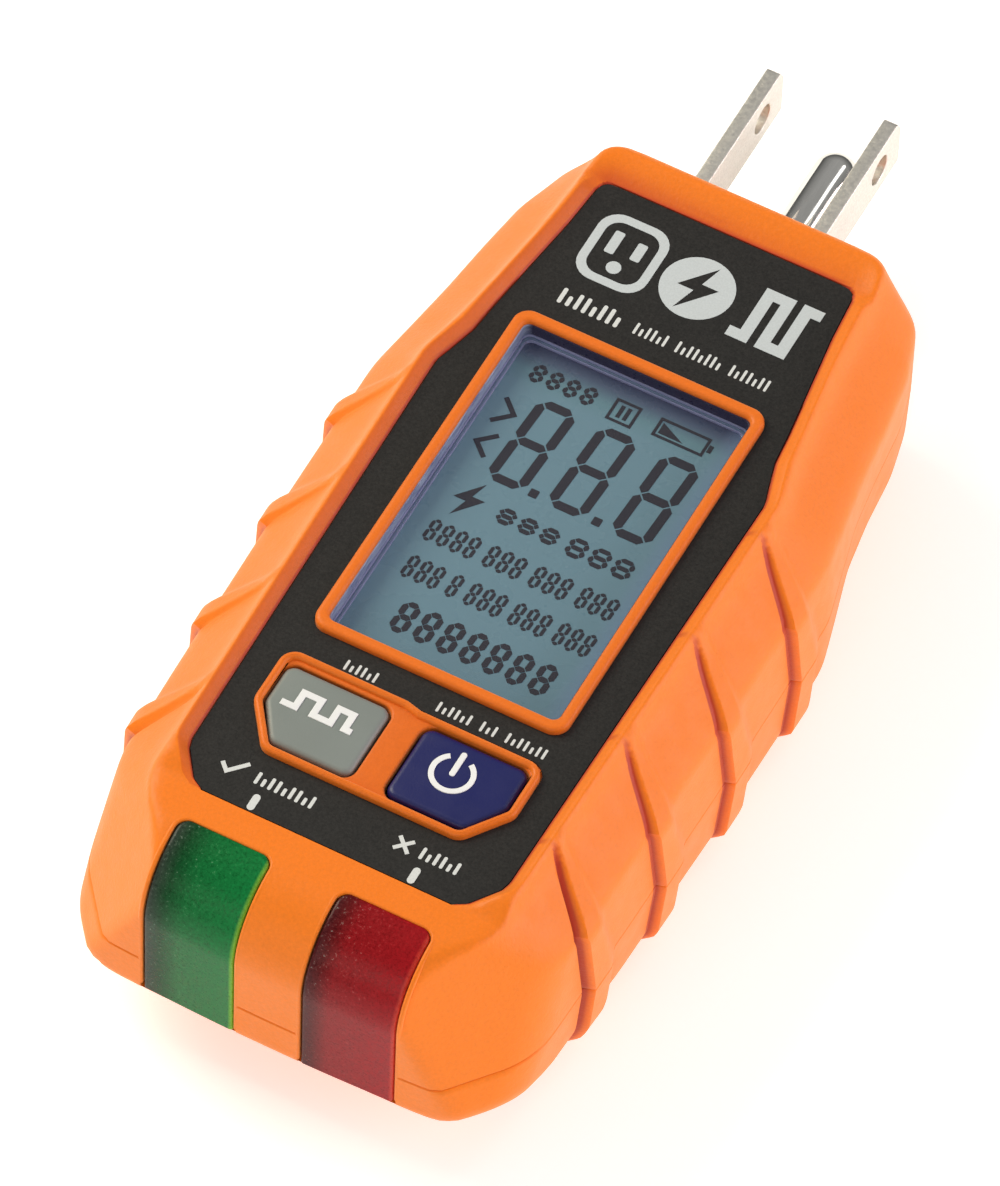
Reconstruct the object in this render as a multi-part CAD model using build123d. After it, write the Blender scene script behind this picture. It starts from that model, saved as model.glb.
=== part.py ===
"""Three-prong outlet tester: a hand-sized plastic case with a display, two push buttons, two
indicator lenses and a standard grounded plug.

Millimetres. The tester lies on its back: +Z leaves the front, +Y runs along the prongs, X is across.
Modelling datum: x = 0 is the plane of symmetry, y = 0 the overlay's edge nearest the prongs, z = 0 the
overlay's plane. Each finished piece is then moved so that the origin is the middle of the footprint.
"""

from build123d import *
import os
from math import cos, radians, sin

# ---- the plug: standard grounded 15 A pattern ------------------------------------------------------
BLADE_SPACING = 12.7
BLADE_WIDTH = 6.35
BLADE_THICKNESS = 1.52
BLADE_TIP_Y = 22.6
BLADE_TAIL_Y = -9.0
BLADE_Z = -6.1
BLADE_HOLE_R = 1.6
BLADE_HOLE_TO_TIP = 4.3
BLADE_TIP_CHAMFER = 0.8
PIN_R = 4.75 / 2
PIN_ROOT_R = 2.0
PIN_DROP = 11.9
PIN_TIP_Y = 26.3
PIN_TAIL_Y = -10.0

# ---- the case --------------------------------------------------------------------------------------
RIM_Z = 1.1
SHOULDER_Z = -0.9
CREASE_Z = -5.2
SEAM_Z = -14.0
FOOT_Z = -22.5
BACK_Z = -26.0
PRONG_END_Y = 4.8
LAMP_END_Y = -91.4
LAMP_END_R = 7.8
LAMP_TOP_Z = 0.1
RIM_FADE_Y = (-77.5, -80.4)
PRONG_EDGE_R = 1.6
LAMP_FOOT_Z = -18.7
PRONG_BEVEL = 3.0
BACK_RISE_Y = -79.0
CREST = 1.0
BACK_BEVEL = 2.6
WALL = 2.0
LIP = 1.05
LIP_H = 1.2
LIP_ROOT = 1.0
LIP_CLEAR = 0.1
FRONT_WALL_Z = -1.8
BACK_WALL = 1.8
CORNER_TURN = 39.0
CORNER_LEAN = 21.0
CORNER_UNDERCUT = -50.0
CORNER_POINT = (23.4, -83.6, SEAM_Z)
CORNER_FOOT = (23.4, -83.6, -19.4)
SEAM_GAP = 0.05

# half-widths of the case at stations along its length: (y, rim, crease, seam, foot, height of the foot)
STATIONS = [
    (PRONG_END_Y, 15.2, 17.2, 17.5, 17.4, FOOT_Z),
    (3.3, 16.0, 18.8, 18.9, 18.7, FOOT_Z),
    (-3.0, 16.4, 21.0, 20.6, 20.1, FOOT_Z),
    (-9.0, 16.9, 21.9, 21.2, 20.6, FOOT_Z),
    (-15.0, 17.7, 22.6, 22.0, 21.5, FOOT_Z),
    (-21.0, 18.6, 23.5, 23.5, 23.2, FOOT_Z),
    (-26.3, 19.9, 24.3, 24.9, 24.6, FOOT_Z),
    (-47.0, 19.6, 24.1, 24.8, 24.3, FOOT_Z),
    (-66.0, 19.2, 23.7, 24.4, 23.9, -21.8),
    (-79.0, 18.9, 23.3, 23.9, 23.6, -20.2),
    (LAMP_END_Y, 18.4, 22.7, 23.3, 23.1, -18.7),
]

# grip ribs, four on each side, leaning as they come down from the rim
RIB_COUNT = 4
RIB_FIRST_Y = -30.4
RIB_PITCH = 13.35
RIB_LEAN = 3.8
RIB_ROOT = 1.0
# (height, share of the lean, how far the rib stands out, crest length, gentle flank length)
RIB_LEVELS = [
    (SHOULDER_Z, 0.0, 0.35, 0.8, 1.4),
    (CREASE_Z, 1.0, 0.95, 2.0, 2.6),
    (SEAM_Z, 0.85, 0.95, 2.8, 2.6),
    (FOOT_Z, 0.95, 0.95, 3.0, 2.2),
]
RIB_STEEP_FLANK = 1.0

# ---- front face ------------------------------------------------------------------------------------
OVERLAY_T = 0.35
OVERLAY_R = 1.2
OVERLAY_FIT = 0.05
# half of the overlay's outline, from the prong end to the lamp end
OVERLAY_HALF = [
    (13.5, 0.0), (14.0, -6.0), (14.8, -12.0), (15.6, -18.0), (15.95, -21.5), (16.7, -24.2),
    (17.35, -26.3), (16.5, -75.5), (16.2, -76.6), (14.2, -79.4), (13.0, -80.1),
]
OVERLAY_GAP = 0.12
SCREEN_Y = -38.2
BEZEL_W = 26.6
BEZEL_H = 42.0
BEZEL_R = 1.7
BEZEL_RISE = 0.8
WINDOW_W = 24.3
WINDOW_H = 39.5
WINDOW_R = 0.8
WINDOW_FIT = 0.05
LEDGE = 0.5
WINDOW_T = 1.2
WINDOW_TOP_Z = 0.3
SURROUND_RISE = 0.8
# outlines of the left button and its surround; the right ones mirror them
BUTTON_OUTLINE = [(-12.7, -64.0), (-1.8, -64.0), (-1.8, -72.6), (-10.2, -72.6), (-12.7, -68.7)]
SURROUND_OUTLINE = [(-10.3, -73.8), (-13.7, -69.1), (-13.7, -62.6)]
BUTTON_R = 0.8
SURROUND_R = 1.7
BUTTON_GAP = 0.25
BUTTON_TOP_Z = 0.5
BUTTON_EDGE_R = 0.45
BUTTON_TRAVEL = 0.6
FLANGE = 0.8
FLANGE_T = 0.8
FLANGE_GAP = 0.05
SWITCH_Y = -68.0
SWITCH_X = 6.9
SWITCH_SIZE = 6.0
SWITCH_TOP_Z = -3.6
PLUNGER_R = 1.65
PLUNGER_GAP = 0.08
PLUNGER_DEPTH = 1.6
PLUNGER_SPARE = 0.2

# ---- indicator lenses ------------------------------------------------------------------------------
LENS_X = 8.35
LENS_W = 9.6
LENS_TOP_Y = -83.7
LENS_R = 1.2
LENS_T = 1.8
LENS_GAP = 0.05
LENS_FOOT_Z = -18.5
LENS_OPEN_Y = -84.0
LAMP_R = 2.5
LAMP_Z = -6.7
LAMP_BASE_Y = -79.5
LAMP_TIP_Y = -88.0
LAMP_FLANGE = 0.4
LAMP_FLANGE_T = 1.0
WIRE_X = 1.27
WIRE_HALF_W = 0.25
WIRE_LENGTH = 4.5

# ---- display stack and circuit board ---------------------------------------------------------------
GLASS_W = 26.4
GLASS_H = 41.6
GLASS_T = 1.8
GLASS_R = 0.3
GLASS_TOP_Z = -1.85
GUIDE_W = 24.8
GUIDE_H = 37.6
GUIDE_T = 2.4
GUIDE_R = 0.5
HOLDER_W = 28.6
HOLDER_H = 44.4
HOLDER_R = 0.8
STRIP_W = 22.0
STRIP_DEPTH = 1.6
BOARD_TOP_Z = -7.0
BOARD_T = 1.6
BOARD_HALF_W = 17.6
BOARD_NECK_HALF_W = 16.2
BOARD_Y0 = -77.5
BOARD_Y1 = -14.0
BOARD_NECK_Y = -21.0
BOARD_R = 0.8
BOARD_LOW_Z = BOARD_TOP_Z - BOARD_T
BOARD_SCREWS = [(15.3, -18.4), (15.3, -74.3)]
CASE_SCREWS = [(15.0, -9.6), (18.6, -80.3)]
SCREW_R = 0.95
SCREW_FIT = 0.03
SCREW_CLEAR = 0.1
SCREW_HEAD_R = 1.9
SCREW_HEAD_T = 1.3
HEAD_CLEAR = 0.15
HEAD_SEAT = 4.0
CROSS_LENGTH = 2.2
CROSS_W = 0.5
CROSS_DEPTH = 0.6
BOARD_PILOT = 4.2
BOARD_SCREW_REACH = 4.0
CASE_PILOT = 7.2
CASE_SCREW_REACH = 7.0
BOARD_BOSS_R = 1.9
CASE_BOSS_R = 2.5
BOSS_ROOT = 0.5
BOSS_CLEAR = 0.1

# ---- what is soldered under the board --------------------------------------------------------------
CHIP_X = (-13.0, -6.0)
CHIP_Y = (-40.0, -33.0)
CHIP_T = 1.4
CHIP_LEGS = 8
CHIP_LEG_Y = -39.4
CHIP_LEG_PITCH = 0.83
CHIP_LEG_HALF_W = 0.15
CHIP_LEG_REACH = 1.0
CHIP_LEG_T = 0.5
RESISTORS = 4
RESISTOR_X = 1.5
RESISTOR_PITCH = 3.6
RESISTOR_W = 2.6
RESISTOR_Y = (-40.0, -34.0)
RESISTOR_T = 0.9
DISC_R = 3.6
DISC_T = 3.2
DISC_AT = (9.5, -20.0)
CAPACITOR_X = (-13.2, -5.0)
CAPACITOR_Y = (-24.2, -16.4)
CAPACITOR_T = 5.2
CAPACITOR_EDGE = 0.5
LEAD_R = 0.75
LEAD_TURN_Y = -12.3
LEAD_DROP = 3.4
LEAD_BEND = 1.3
LEAD_PAD_STEP = 2.5
LEAD_PAD_Y = -15.4
GROUND_PAD_Y = -20.0
GROUND_BEND = 3.0
CARRIER_HALF_W = 10.3
CARRIER_Y = -6.5
CARRIER_LOW_Z = -21.6
CARRIER_TOP_Z = FRONT_WALL_Z - 0.6
CARRIER_POCKET_HALF_W = 4.2
CARRIER_POCKET_WALL = 3.0
CARRIER_POCKET_Z = -13.0

# ---- batteries -------------------------------------------------------------------------------------
CELL_R = 5.2
CELL_LENGTH = 44.0
CELL_X = 5.65
CELL_Z = -18.4
CELL_Y0 = -74.6
CELL_NUB_R = 1.8
CELL_NUB = 0.9
CONTACT_T = 0.4
CONTACT_HALF_H = 4.5
BRIDGE_HALF_W = 10.6
END_CONTACT_HALF_W = 4.8
LEAF_T = 0.35
LEAF_HALF_W = 1.6
LEAF_FOOT = 4.0
LEAF_KNEE = (1.2, 3.6)
LEAF_TOUCH = (0.6, 1.0)
BAY_HALF_W = 12.0
BAY_Y0 = -77.6
BAY_Y1 = -27.6
BAY_ROOF_Z = -12.7
BAY_WALL = 1.4
BAY_SINK = 0.4
DOOR_HALF_W = 11.6
DOOR_Y1 = -28.9
TONGUE = 1.0
TONGUE_TOP_Z = BACK_Z + BACK_WALL - 0.05
TONGUE_T = 0.75
DOOR_GAP = 0.1
DOOR_OVERLAP = 0.01
GRIP_COUNT = 5
GRIP_FIRST_Y = -67.0
GRIP_PITCH = 1.6
GRIP_R = 0.45
GRIP_LENGTH = 12.0

NEUTRAL = -BLADE_SPACING / 2
HOT = BLADE_SPACING / 2
PIN_Z = BLADE_Z - PIN_DROP
ORIGIN = (0, (LAMP_END_Y + PIN_TIP_Y) / 2, BACK_Z)
FAR = 60.0


# ---- helpers ---------------------------------------------------------------------------------------
def block(x0, x1, y0, y1, z0, z1):
    """A box between two corners."""
    return Pos((x0 + x1) / 2, (y0 + y1) / 2, (z0 + z1) / 2) * Box(x1 - x0, y1 - y0, z1 - z0)


def prism(face, z0, z1):
    """A face drawn in XY, extruded from z0 to z1."""
    return extrude(Pos(0, 0, z0) * face, z1 - z0)


def polygon(points, radius=0.0):
    """A closed outline in XY, with its corners rounded."""
    face = make_face(Polyline(*points, close=True))
    if radius:
        face = fillet(face.vertices(), radius)
    return face


def mirrored(points):
    """The same outline on the other side of the plane of symmetry."""
    return [(-x, y) for x, y in reversed(points)]


def rod_y(radius, x, z, y0, y1):
    """A round bar along Y."""
    return Pos(x, (y0 + y1) / 2, z) * Rot(90, 0, 0) * Cylinder(radius, y1 - y0)


def rod_z(radius, x, y, z0, z1):
    """A round bar along Z."""
    return Pos(x, y, (z0 + z1) / 2) * Cylinder(radius, z1 - z0)


def both_sides(shape):
    """A shape and its mirror image."""
    return shape + mirror(shape, about=Plane.YZ)


def width_at(y, column):
    """Half-width of the case at a place along it; column 1 is the rim, 2 crease, 3 seam, 4 foot."""
    for near, far in zip(STATIONS, STATIONS[1:]):
        if near[0] >= y >= far[0]:
            share = (near[0] - y) / (near[0] - far[0])
            return near[column] + share * (far[column] - near[column])
    return STATIONS[-1][column]


# ---- the case's outer form -------------------------------------------------------------------------
def section(station, inset, top_z):
    """One cross-section of the case, closed across its plane of symmetry."""
    y, rim, crease, seam, foot, foot_z = station
    back_z = BACK_Z + (BACK_WALL if inset == WALL else inset)
    right = [
        (rim - CREST - inset, top_z),
        (rim - 0.7 * inset, SHOULDER_Z - 0.9 * inset),
        (crease - inset, CREASE_Z - 0.3 * inset),
        (seam - inset, SEAM_Z),
        (foot - inset, foot_z + 0.2 * inset),
        (foot - BACK_BEVEL - inset, back_z),
    ]
    ring = right + [(-x, z) for x, z in reversed(right)]
    return make_face(Polyline(*[(x, y, z) for x, z in ring], close=True))


def side_profile(inset):
    """The case's outline seen from the side, as a slab across the full width."""
    end = PRONG_END_Y - inset
    top = RIM_Z - inset
    low_top = LAMP_TOP_Z - inset
    edge_r = max(PRONG_EDGE_R - inset, 0.2)
    arc_y = LAMP_END_Y + LAMP_END_R
    lamp = LAMP_END_Y + inset
    low = BACK_Z + (BACK_WALL if inset == WALL else inset)
    edge = Curve() + [
        Line((end, FOOT_Z), (end, top - edge_r)),
        CenterArc((end - edge_r, top - edge_r), edge_r, 0, 90),
        Line((end - edge_r, top), (RIM_FADE_Y[0], top)),
        Line((RIM_FADE_Y[0], top), (RIM_FADE_Y[1], low_top)),
        Line((RIM_FADE_Y[1], low_top), (arc_y, low_top)),
        CenterArc((arc_y, LAMP_TOP_Z - LAMP_END_R), LAMP_END_R - inset, 90, 90),
        Line((lamp, LAMP_TOP_Z - LAMP_END_R), (lamp, LAMP_FOOT_Z)),
        Line((lamp, LAMP_FOOT_Z), (BACK_RISE_Y + 0.5 * inset, low)),
        Line((BACK_RISE_Y + 0.5 * inset, low), (end - PRONG_BEVEL, low)),
        Line((end - PRONG_BEVEL, low), (end, FOOT_Z)),
    ]
    face = Plane.YZ * make_face(edge)
    return extrude(face, FAR, both=True)


def corner_cutter(inset, lean_degrees, point):
    """The block beyond one of the sloping facets at a corner of the lamp end."""
    turn = radians(CORNER_TURN)
    lean = radians(lean_degrees)
    normal = Vector(cos(turn) * cos(lean), -sin(turn) * cos(lean), sin(lean))
    facet = Plane(origin=Vector(*point) - normal * inset, z_dir=normal)
    return extrude(facet * Rectangle(FAR, FAR), FAR / 2)


def case_form(inset=0.0, top_z=RIM_Z):
    """The whole case as a solid, set in from its outside by a wall."""
    body = loft([section(station, inset, top_z) for station in STATIONS], ruled=True)
    body = body & side_profile(inset)
    body = body - both_sides(corner_cutter(inset, CORNER_LEAN, CORNER_POINT))
    return body - both_sides(corner_cutter(inset, CORNER_UNDERCUT, CORNER_FOOT))


def rib(index):
    """One grip rib on the right-hand side: steep towards the lamps, gentle towards the prongs."""
    start = RIB_FIRST_Y - RIB_PITCH * index
    faces = []
    for column, (z, lean, height, crest, gentle) in enumerate(RIB_LEVELS, start=1):
        y = start - RIB_LEAN * lean
        w0 = width_at(y, column)
        w1 = width_at(y + crest + gentle, column)
        outline = [
            (w0 - RIB_ROOT, y - RIB_STEEP_FLANK),
            (w0, y - RIB_STEEP_FLANK),
            (w0 + height, y),
            (w0 + height, y + crest),
            (w1, y + crest + gentle),
            (w1 - RIB_ROOT, y + crest + gentle),
        ]
        faces.append(make_face(Polyline(*[(a, b, z) for a, b in outline], close=True)))
    return loft(faces, ruled=True)


def ribs():
    """All the grip ribs of both sides."""
    group = rib(0)
    for index in range(1, RIB_COUNT):
        group = group + rib(index)
    return both_sides(group)


# ---- outlines on the front face --------------------------------------------------------------------
def overlay_outline(grow=0.0):
    """The printed overlay's outline, wider at the display than at the prong end."""
    face = polygon(OVERLAY_HALF + [(-x, y) for x, y in reversed(OVERLAY_HALF)])
    corners = [v for v in face.vertices() if abs(v.Y) < 0.01]
    face = fillet(corners, OVERLAY_R)
    return offset(face, grow) if grow else face


def rounded(width, height, radius, x=0.0, y=0.0):
    """A rectangle with round corners."""
    return Pos(x, y) * RectangleRounded(width, height, radius)


def surround_outline():
    """The raised frame round both buttons."""
    left = SURROUND_OUTLINE
    return polygon(left + mirrored(left), SURROUND_R)


def button_outline(right, grow=0.0):
    """One button's outline, the left one or its mirror image."""
    points = mirrored(BUTTON_OUTLINE) if right else BUTTON_OUTLINE
    face = polygon(points, BUTTON_R)
    return offset(face, grow) if grow else face


# ---- the plug --------------------------------------------------------------------------------------
def blade(x):
    """One flat prong with its hole and trimmed tip."""
    y_mid = (BLADE_TIP_Y + BLADE_TAIL_Y) / 2
    face = Rectangle(BLADE_TIP_Y - BLADE_TAIL_Y, BLADE_WIDTH)
    tips = [v for v in face.vertices() if v.X > 0]
    face = chamfer(tips, BLADE_TIP_CHAMFER)
    face = face - Pos(BLADE_TIP_Y - y_mid - BLADE_HOLE_TO_TIP, 0) * Circle(BLADE_HOLE_R)
    flat = Plane(origin=(x, y_mid, BLADE_Z), x_dir=(0, 1, 0), z_dir=(1, 0, 0)) * face
    return extrude(flat, BLADE_THICKNESS / 2, both=True)


def ground_pin():
    """The round prong, with a domed end, and a thinner root that runs back through the end wall."""
    root = rod_y(PIN_ROOT_R, 0, PIN_Z, PIN_TAIL_Y, PRONG_END_Y)
    shank = rod_y(PIN_R, 0, PIN_Z, PRONG_END_Y, PIN_TIP_Y - PIN_R)
    return root + shank + Pos(0, PIN_TIP_Y - PIN_R, PIN_Z) * Sphere(PIN_R)


def plug_slots(y0, y1):
    """The space the three prongs fill where they pass through a wall."""
    half_t = BLADE_THICKNESS / 2
    half_w = BLADE_WIDTH / 2
    slots = rod_y(PIN_ROOT_R, 0, PIN_Z, y0, y1)
    for x in (NEUTRAL, HOT):
        slots = slots + block(x - half_t, x + half_t, y0, y1, BLADE_Z - half_w, BLADE_Z + half_w)
    return slots


def prong_carrier():
    """The insulating block behind the end wall, which holds all three prongs."""
    y1 = PRONG_END_Y - WALL
    body = block(-CARRIER_HALF_W, CARRIER_HALF_W, CARRIER_Y, y1, CARRIER_LOW_Z, CARRIER_TOP_Z)
    body = body - block(
        -CARRIER_POCKET_HALF_W, CARRIER_POCKET_HALF_W, CARRIER_Y, y1 - CARRIER_POCKET_WALL,
        CARRIER_POCKET_Z, CARRIER_TOP_Z,
    )
    return body - plug_slots(CARRIER_Y, y1)


# ---- the case --------------------------------------------------------------------------------------
def boss_spots(spots):
    """Screw positions on both sides."""
    return [(side * x, y) for x, y in spots for side in (-1, 1)]


def lens_solid(grow=0.0, inset=0.0):
    """One indicator lens's path over the lamp end, before it is hollowed."""
    low = LENS_FOOT_Z - grow
    outline = RectangleRounded(LENS_W + 2 * grow, FAR, LENS_R)
    top = Pos(LENS_X, LENS_TOP_Y + grow - FAR / 2) * outline
    column = prism(top, low, FAR)
    return column & side_profile(inset)


def lens_openings():
    """The two spaces in the case that the lenses fill."""
    return both_sides(lens_solid(LENS_GAP))


def lens(side):
    """A curved indicator lens, an even skin that wraps over the lamp end."""
    skin = lens_solid(-LENS_GAP) - side_profile(LENS_T)
    foot = block(0, FAR, -FAR * 2, LENS_OPEN_Y, LENS_FOOT_Z - 1, SEAM_Z)
    skin = skin - (foot & side_profile(LENS_T))
    return skin if side > 0 else mirror(skin, about=Plane.YZ)


def front_shell():
    """The front half of the case, with the display bezel, button frame and screw bosses."""
    form = case_form()
    upper = block(-FAR, FAR, -2 * FAR, FAR, SEAM_Z, FAR)
    body = form & upper
    body = body + (ribs() & upper)
    body = body - prism(overlay_outline(OVERLAY_GAP), -OVERLAY_T, FAR)
    body = body + prism(rounded(BEZEL_W, BEZEL_H, BEZEL_R, y=SCREEN_Y), -OVERLAY_T, BEZEL_RISE)
    body = body + prism(surround_outline(), -OVERLAY_T, SURROUND_RISE)
    hollow = case_form(WALL, FRONT_WALL_Z)
    bosses = None
    for x, y in boss_spots(BOARD_SCREWS):
        post = rod_z(BOARD_BOSS_R, x, y, BOARD_TOP_Z, FRONT_WALL_Z + BOSS_ROOT)
        bosses = post if bosses is None else bosses + post
    for x, y in boss_spots(CASE_SCREWS):
        bosses = bosses + rod_z(CASE_BOSS_R, x, y, SEAM_Z, FRONT_WALL_Z + BOSS_ROOT)
    body = (body - hollow) + (bosses & form)
    body = body - prism(rounded(WINDOW_W, WINDOW_H, WINDOW_R, y=SCREEN_Y), WINDOW_TOP_Z - WINDOW_T, FAR)
    ledge = rounded(WINDOW_W - 2 * LEDGE, WINDOW_H - 2 * LEDGE, WINDOW_R, y=SCREEN_Y)
    body = body - prism(ledge, FRONT_WALL_Z - 1, 0)
    for right in (False, True):
        body = body - prism(button_outline(right, BUTTON_GAP), FRONT_WALL_Z - 1, FAR)
    body = body - lens_openings()
    lip_top = SEAM_Z + LIP_H + LIP_CLEAR
    lip_space = case_form(LIP, FRONT_WALL_Z) & block(-FAR, FAR, -2 * FAR, FAR, SEAM_Z, lip_top)
    body = body - (lip_space - hollow - (bosses & form))
    for x, y in boss_spots(BOARD_SCREWS):
        body = body - rod_z(SCREW_R + SCREW_FIT, x, y, BOARD_TOP_Z, BOARD_TOP_Z + BOARD_PILOT)
    for x, y in boss_spots(CASE_SCREWS):
        body = body - rod_z(SCREW_R + SCREW_FIT, x, y, SEAM_Z, SEAM_Z + CASE_PILOT)
    return body - plug_slots(0, FAR)


def battery_bay():
    """The box that stands round the cells, open towards the back."""
    outer = block(
        -BAY_HALF_W - BAY_WALL, BAY_HALF_W + BAY_WALL,
        BAY_Y0 - BAY_WALL, BAY_Y1 + BAY_WALL,
        BACK_Z + BACK_WALL - BAY_SINK, BAY_ROOF_Z + BAY_WALL,
    )
    inner = block(-BAY_HALF_W, BAY_HALF_W, BAY_Y0, BAY_Y1, BACK_Z, BAY_ROOF_Z)
    return outer, inner


def door_space(grow=0.0):
    """The gap in the back that the battery door fills, with its side grooves."""
    z_join = TONGUE_TOP_Z - TONGUE_T
    plate = block(
        -DOOR_HALF_W - grow, DOOR_HALF_W + grow, -FAR * 2, DOOR_Y1 + grow, BACK_Z - 1, z_join + DOOR_OVERLAP
    )
    tongue = block(
        -DOOR_HALF_W - TONGUE - grow, DOOR_HALF_W + TONGUE + grow, -FAR * 2, DOOR_Y1 + TONGUE + grow,
        z_join - grow / 2, TONGUE_TOP_Z + grow / 2,
    )
    return plate + tongue


def battery_door():
    """The cover over the cells, with side tongues and thumb grooves; it slides towards the lamp end."""
    body = door_space() & case_form() & block(-FAR, FAR, -FAR * 2, FAR, BACK_Z, TONGUE_TOP_Z)
    for row in range(GRIP_COUNT):
        y = GRIP_FIRST_Y - GRIP_PITCH * row
        body = body - Pos(0, y, BACK_Z) * Rot(0, 90, 0) * Cylinder(GRIP_R, GRIP_LENGTH)
    return body


def rear_shell():
    """The back half of the case, with the lip, battery bay and screw wells."""
    form = case_form()
    lower = block(-FAR, FAR, -2 * FAR, FAR, -FAR, SEAM_Z - SEAM_GAP)
    hollow = case_form(WALL, FRONT_WALL_Z)
    body = ((form & lower) + (ribs() & lower)) - hollow
    lip = (case_form(LIP + SEAM_GAP, FRONT_WALL_Z) - hollow) & block(
        -FAR, FAR, -2 * FAR, FAR, SEAM_Z - LIP_ROOT, SEAM_Z + LIP_H
    )
    outer, inner = battery_bay()
    body = body + lip + (outer & form) - inner
    wells = None
    for x, y in boss_spots(CASE_SCREWS):
        post = rod_z(CASE_BOSS_R, x, y, BACK_Z + BOSS_ROOT, SEAM_Z - SEAM_GAP)
        wells = post if wells is None else wells + post
    body = body + (wells & form)
    for x, y in boss_spots(CASE_SCREWS):
        body = body - rod_z(SCREW_R + SCREW_CLEAR, x, y, -FAR, SEAM_Z)
        body = body - rod_z(SCREW_HEAD_R + HEAD_CLEAR, x, y, -FAR, SEAM_Z - HEAD_SEAT)
        body = body - rod_z(CASE_BOSS_R + BOSS_CLEAR, x, y, SEAM_Z - SEAM_GAP, SEAM_Z + 2)
    body = body - lens_openings()
    body = body - (door_space(DOOR_GAP) & block(-FAR, FAR, -FAR * 2, FAR, -FAR, TONGUE_TOP_Z + DOOR_GAP / 2))
    return body - plug_slots(0, FAR)


# ---- front-face pieces -----------------------------------------------------------------------------
def overlay_label():
    """The thin printed overlay, cut out round the bezel and the button frame."""
    sheet = overlay_outline()
    sheet = sheet - rounded(BEZEL_W + 2 * OVERLAY_FIT, BEZEL_H + 2 * OVERLAY_FIT, BEZEL_R, y=SCREEN_Y)
    sheet = sheet - offset(surround_outline(), OVERLAY_FIT)
    return prism(sheet, -OVERLAY_T, 0)


def display_window():
    """The clear cover over the display."""
    face = rounded(WINDOW_W - 2 * WINDOW_FIT, WINDOW_H - 2 * WINDOW_FIT, WINDOW_R, y=SCREEN_Y)
    return prism(face, WINDOW_TOP_Z - WINDOW_T, WINDOW_TOP_Z)


def display_glass():
    """The liquid-crystal cell behind the window."""
    return prism(rounded(GLASS_W, GLASS_H, GLASS_R, y=SCREEN_Y), GLASS_TOP_Z - GLASS_T, GLASS_TOP_Z)


def display_backlight():
    """The light guide behind the liquid-crystal cell."""
    z1 = GLASS_TOP_Z - GLASS_T
    return prism(rounded(GUIDE_W, GUIDE_H, GUIDE_R, y=SCREEN_Y), z1 - GUIDE_T, z1)


def display_holder():
    """The frame that clamps the display against the front wall and stands on the board."""
    body = prism(rounded(HOLDER_W, HOLDER_H, HOLDER_R, y=SCREEN_Y), BOARD_TOP_Z, GLASS_TOP_Z)
    for x, y in boss_spots(BOARD_SCREWS):
        body = body - rod_z(BOARD_BOSS_R + BOSS_CLEAR, x, y, BOARD_TOP_Z, GLASS_TOP_Z)
    body = body - prism(rounded(GLASS_W, GLASS_H, GLASS_R, y=SCREEN_Y), GLASS_TOP_Z - GLASS_T, GLASS_TOP_Z)
    return body - block(
        -GUIDE_W / 2, GUIDE_W / 2, SCREEN_Y - GLASS_H / 2, SCREEN_Y + GLASS_H / 2,
        BOARD_TOP_Z, GLASS_TOP_Z - GLASS_T,
    )


def contact_strip(end):
    """A rubber strip that joins the display to the board, at one end of the glass."""
    y = SCREEN_Y + end * (GLASS_H / 2 - STRIP_DEPTH / 2)
    return block(
        -STRIP_W / 2, STRIP_W / 2, y - STRIP_DEPTH / 2, y + STRIP_DEPTH / 2,
        BOARD_TOP_Z, GLASS_TOP_Z - GLASS_T,
    )


def push_button(right):
    """A button's cap with the flange that keeps it in, and the post over its switch."""
    face = button_outline(right)
    flange_top = FRONT_WALL_Z - FLANGE_GAP
    cap = prism(face, flange_top - FLANGE_T, BUTTON_TOP_Z)
    rims = cap.faces().sort_by(Axis.Z)[-1].edges()
    cap = fillet(rims, BUTTON_EDGE_R)
    return cap + prism(offset(face, FLANGE), flange_top - FLANGE_T, flange_top)


def switch_x(right):
    """Where a button's switch stands across the case."""
    return SWITCH_X if right else -SWITCH_X


def switch_body(right):
    """A square tactile switch on the board."""
    x = switch_x(right)
    half = SWITCH_SIZE / 2
    body = block(x - half, x + half, SWITCH_Y - half, SWITCH_Y + half, BOARD_TOP_Z, SWITCH_TOP_Z)
    depth = SWITCH_TOP_Z - PLUNGER_DEPTH - BUTTON_TRAVEL - PLUNGER_SPARE
    return body - rod_z(PLUNGER_R + PLUNGER_GAP, x, SWITCH_Y, depth, SWITCH_TOP_Z)


def switch_plunger(right):
    """The switch's moving stem, pushed by the button."""
    top = FRONT_WALL_Z - FLANGE_GAP - FLANGE_T
    return rod_z(PLUNGER_R, switch_x(right), SWITCH_Y, SWITCH_TOP_Z - PLUNGER_DEPTH, top)


# ---- board and what is on it -----------------------------------------------------------------------
def main_board():
    """The printed circuit board, narrower where the case narrows."""
    outline = [
        (-BOARD_HALF_W, BOARD_Y0), (BOARD_HALF_W, BOARD_Y0), (BOARD_HALF_W, BOARD_NECK_Y),
        (BOARD_NECK_HALF_W, BOARD_Y1), (-BOARD_NECK_HALF_W, BOARD_Y1), (-BOARD_HALF_W, BOARD_NECK_Y),
    ]
    body = prism(polygon(outline, BOARD_R), BOARD_LOW_Z, BOARD_TOP_Z)
    for x, y in boss_spots(BOARD_SCREWS):
        body = body - rod_z(SCREW_R + SCREW_CLEAR, x, y, BOARD_LOW_Z, BOARD_TOP_Z)
    return body


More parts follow.
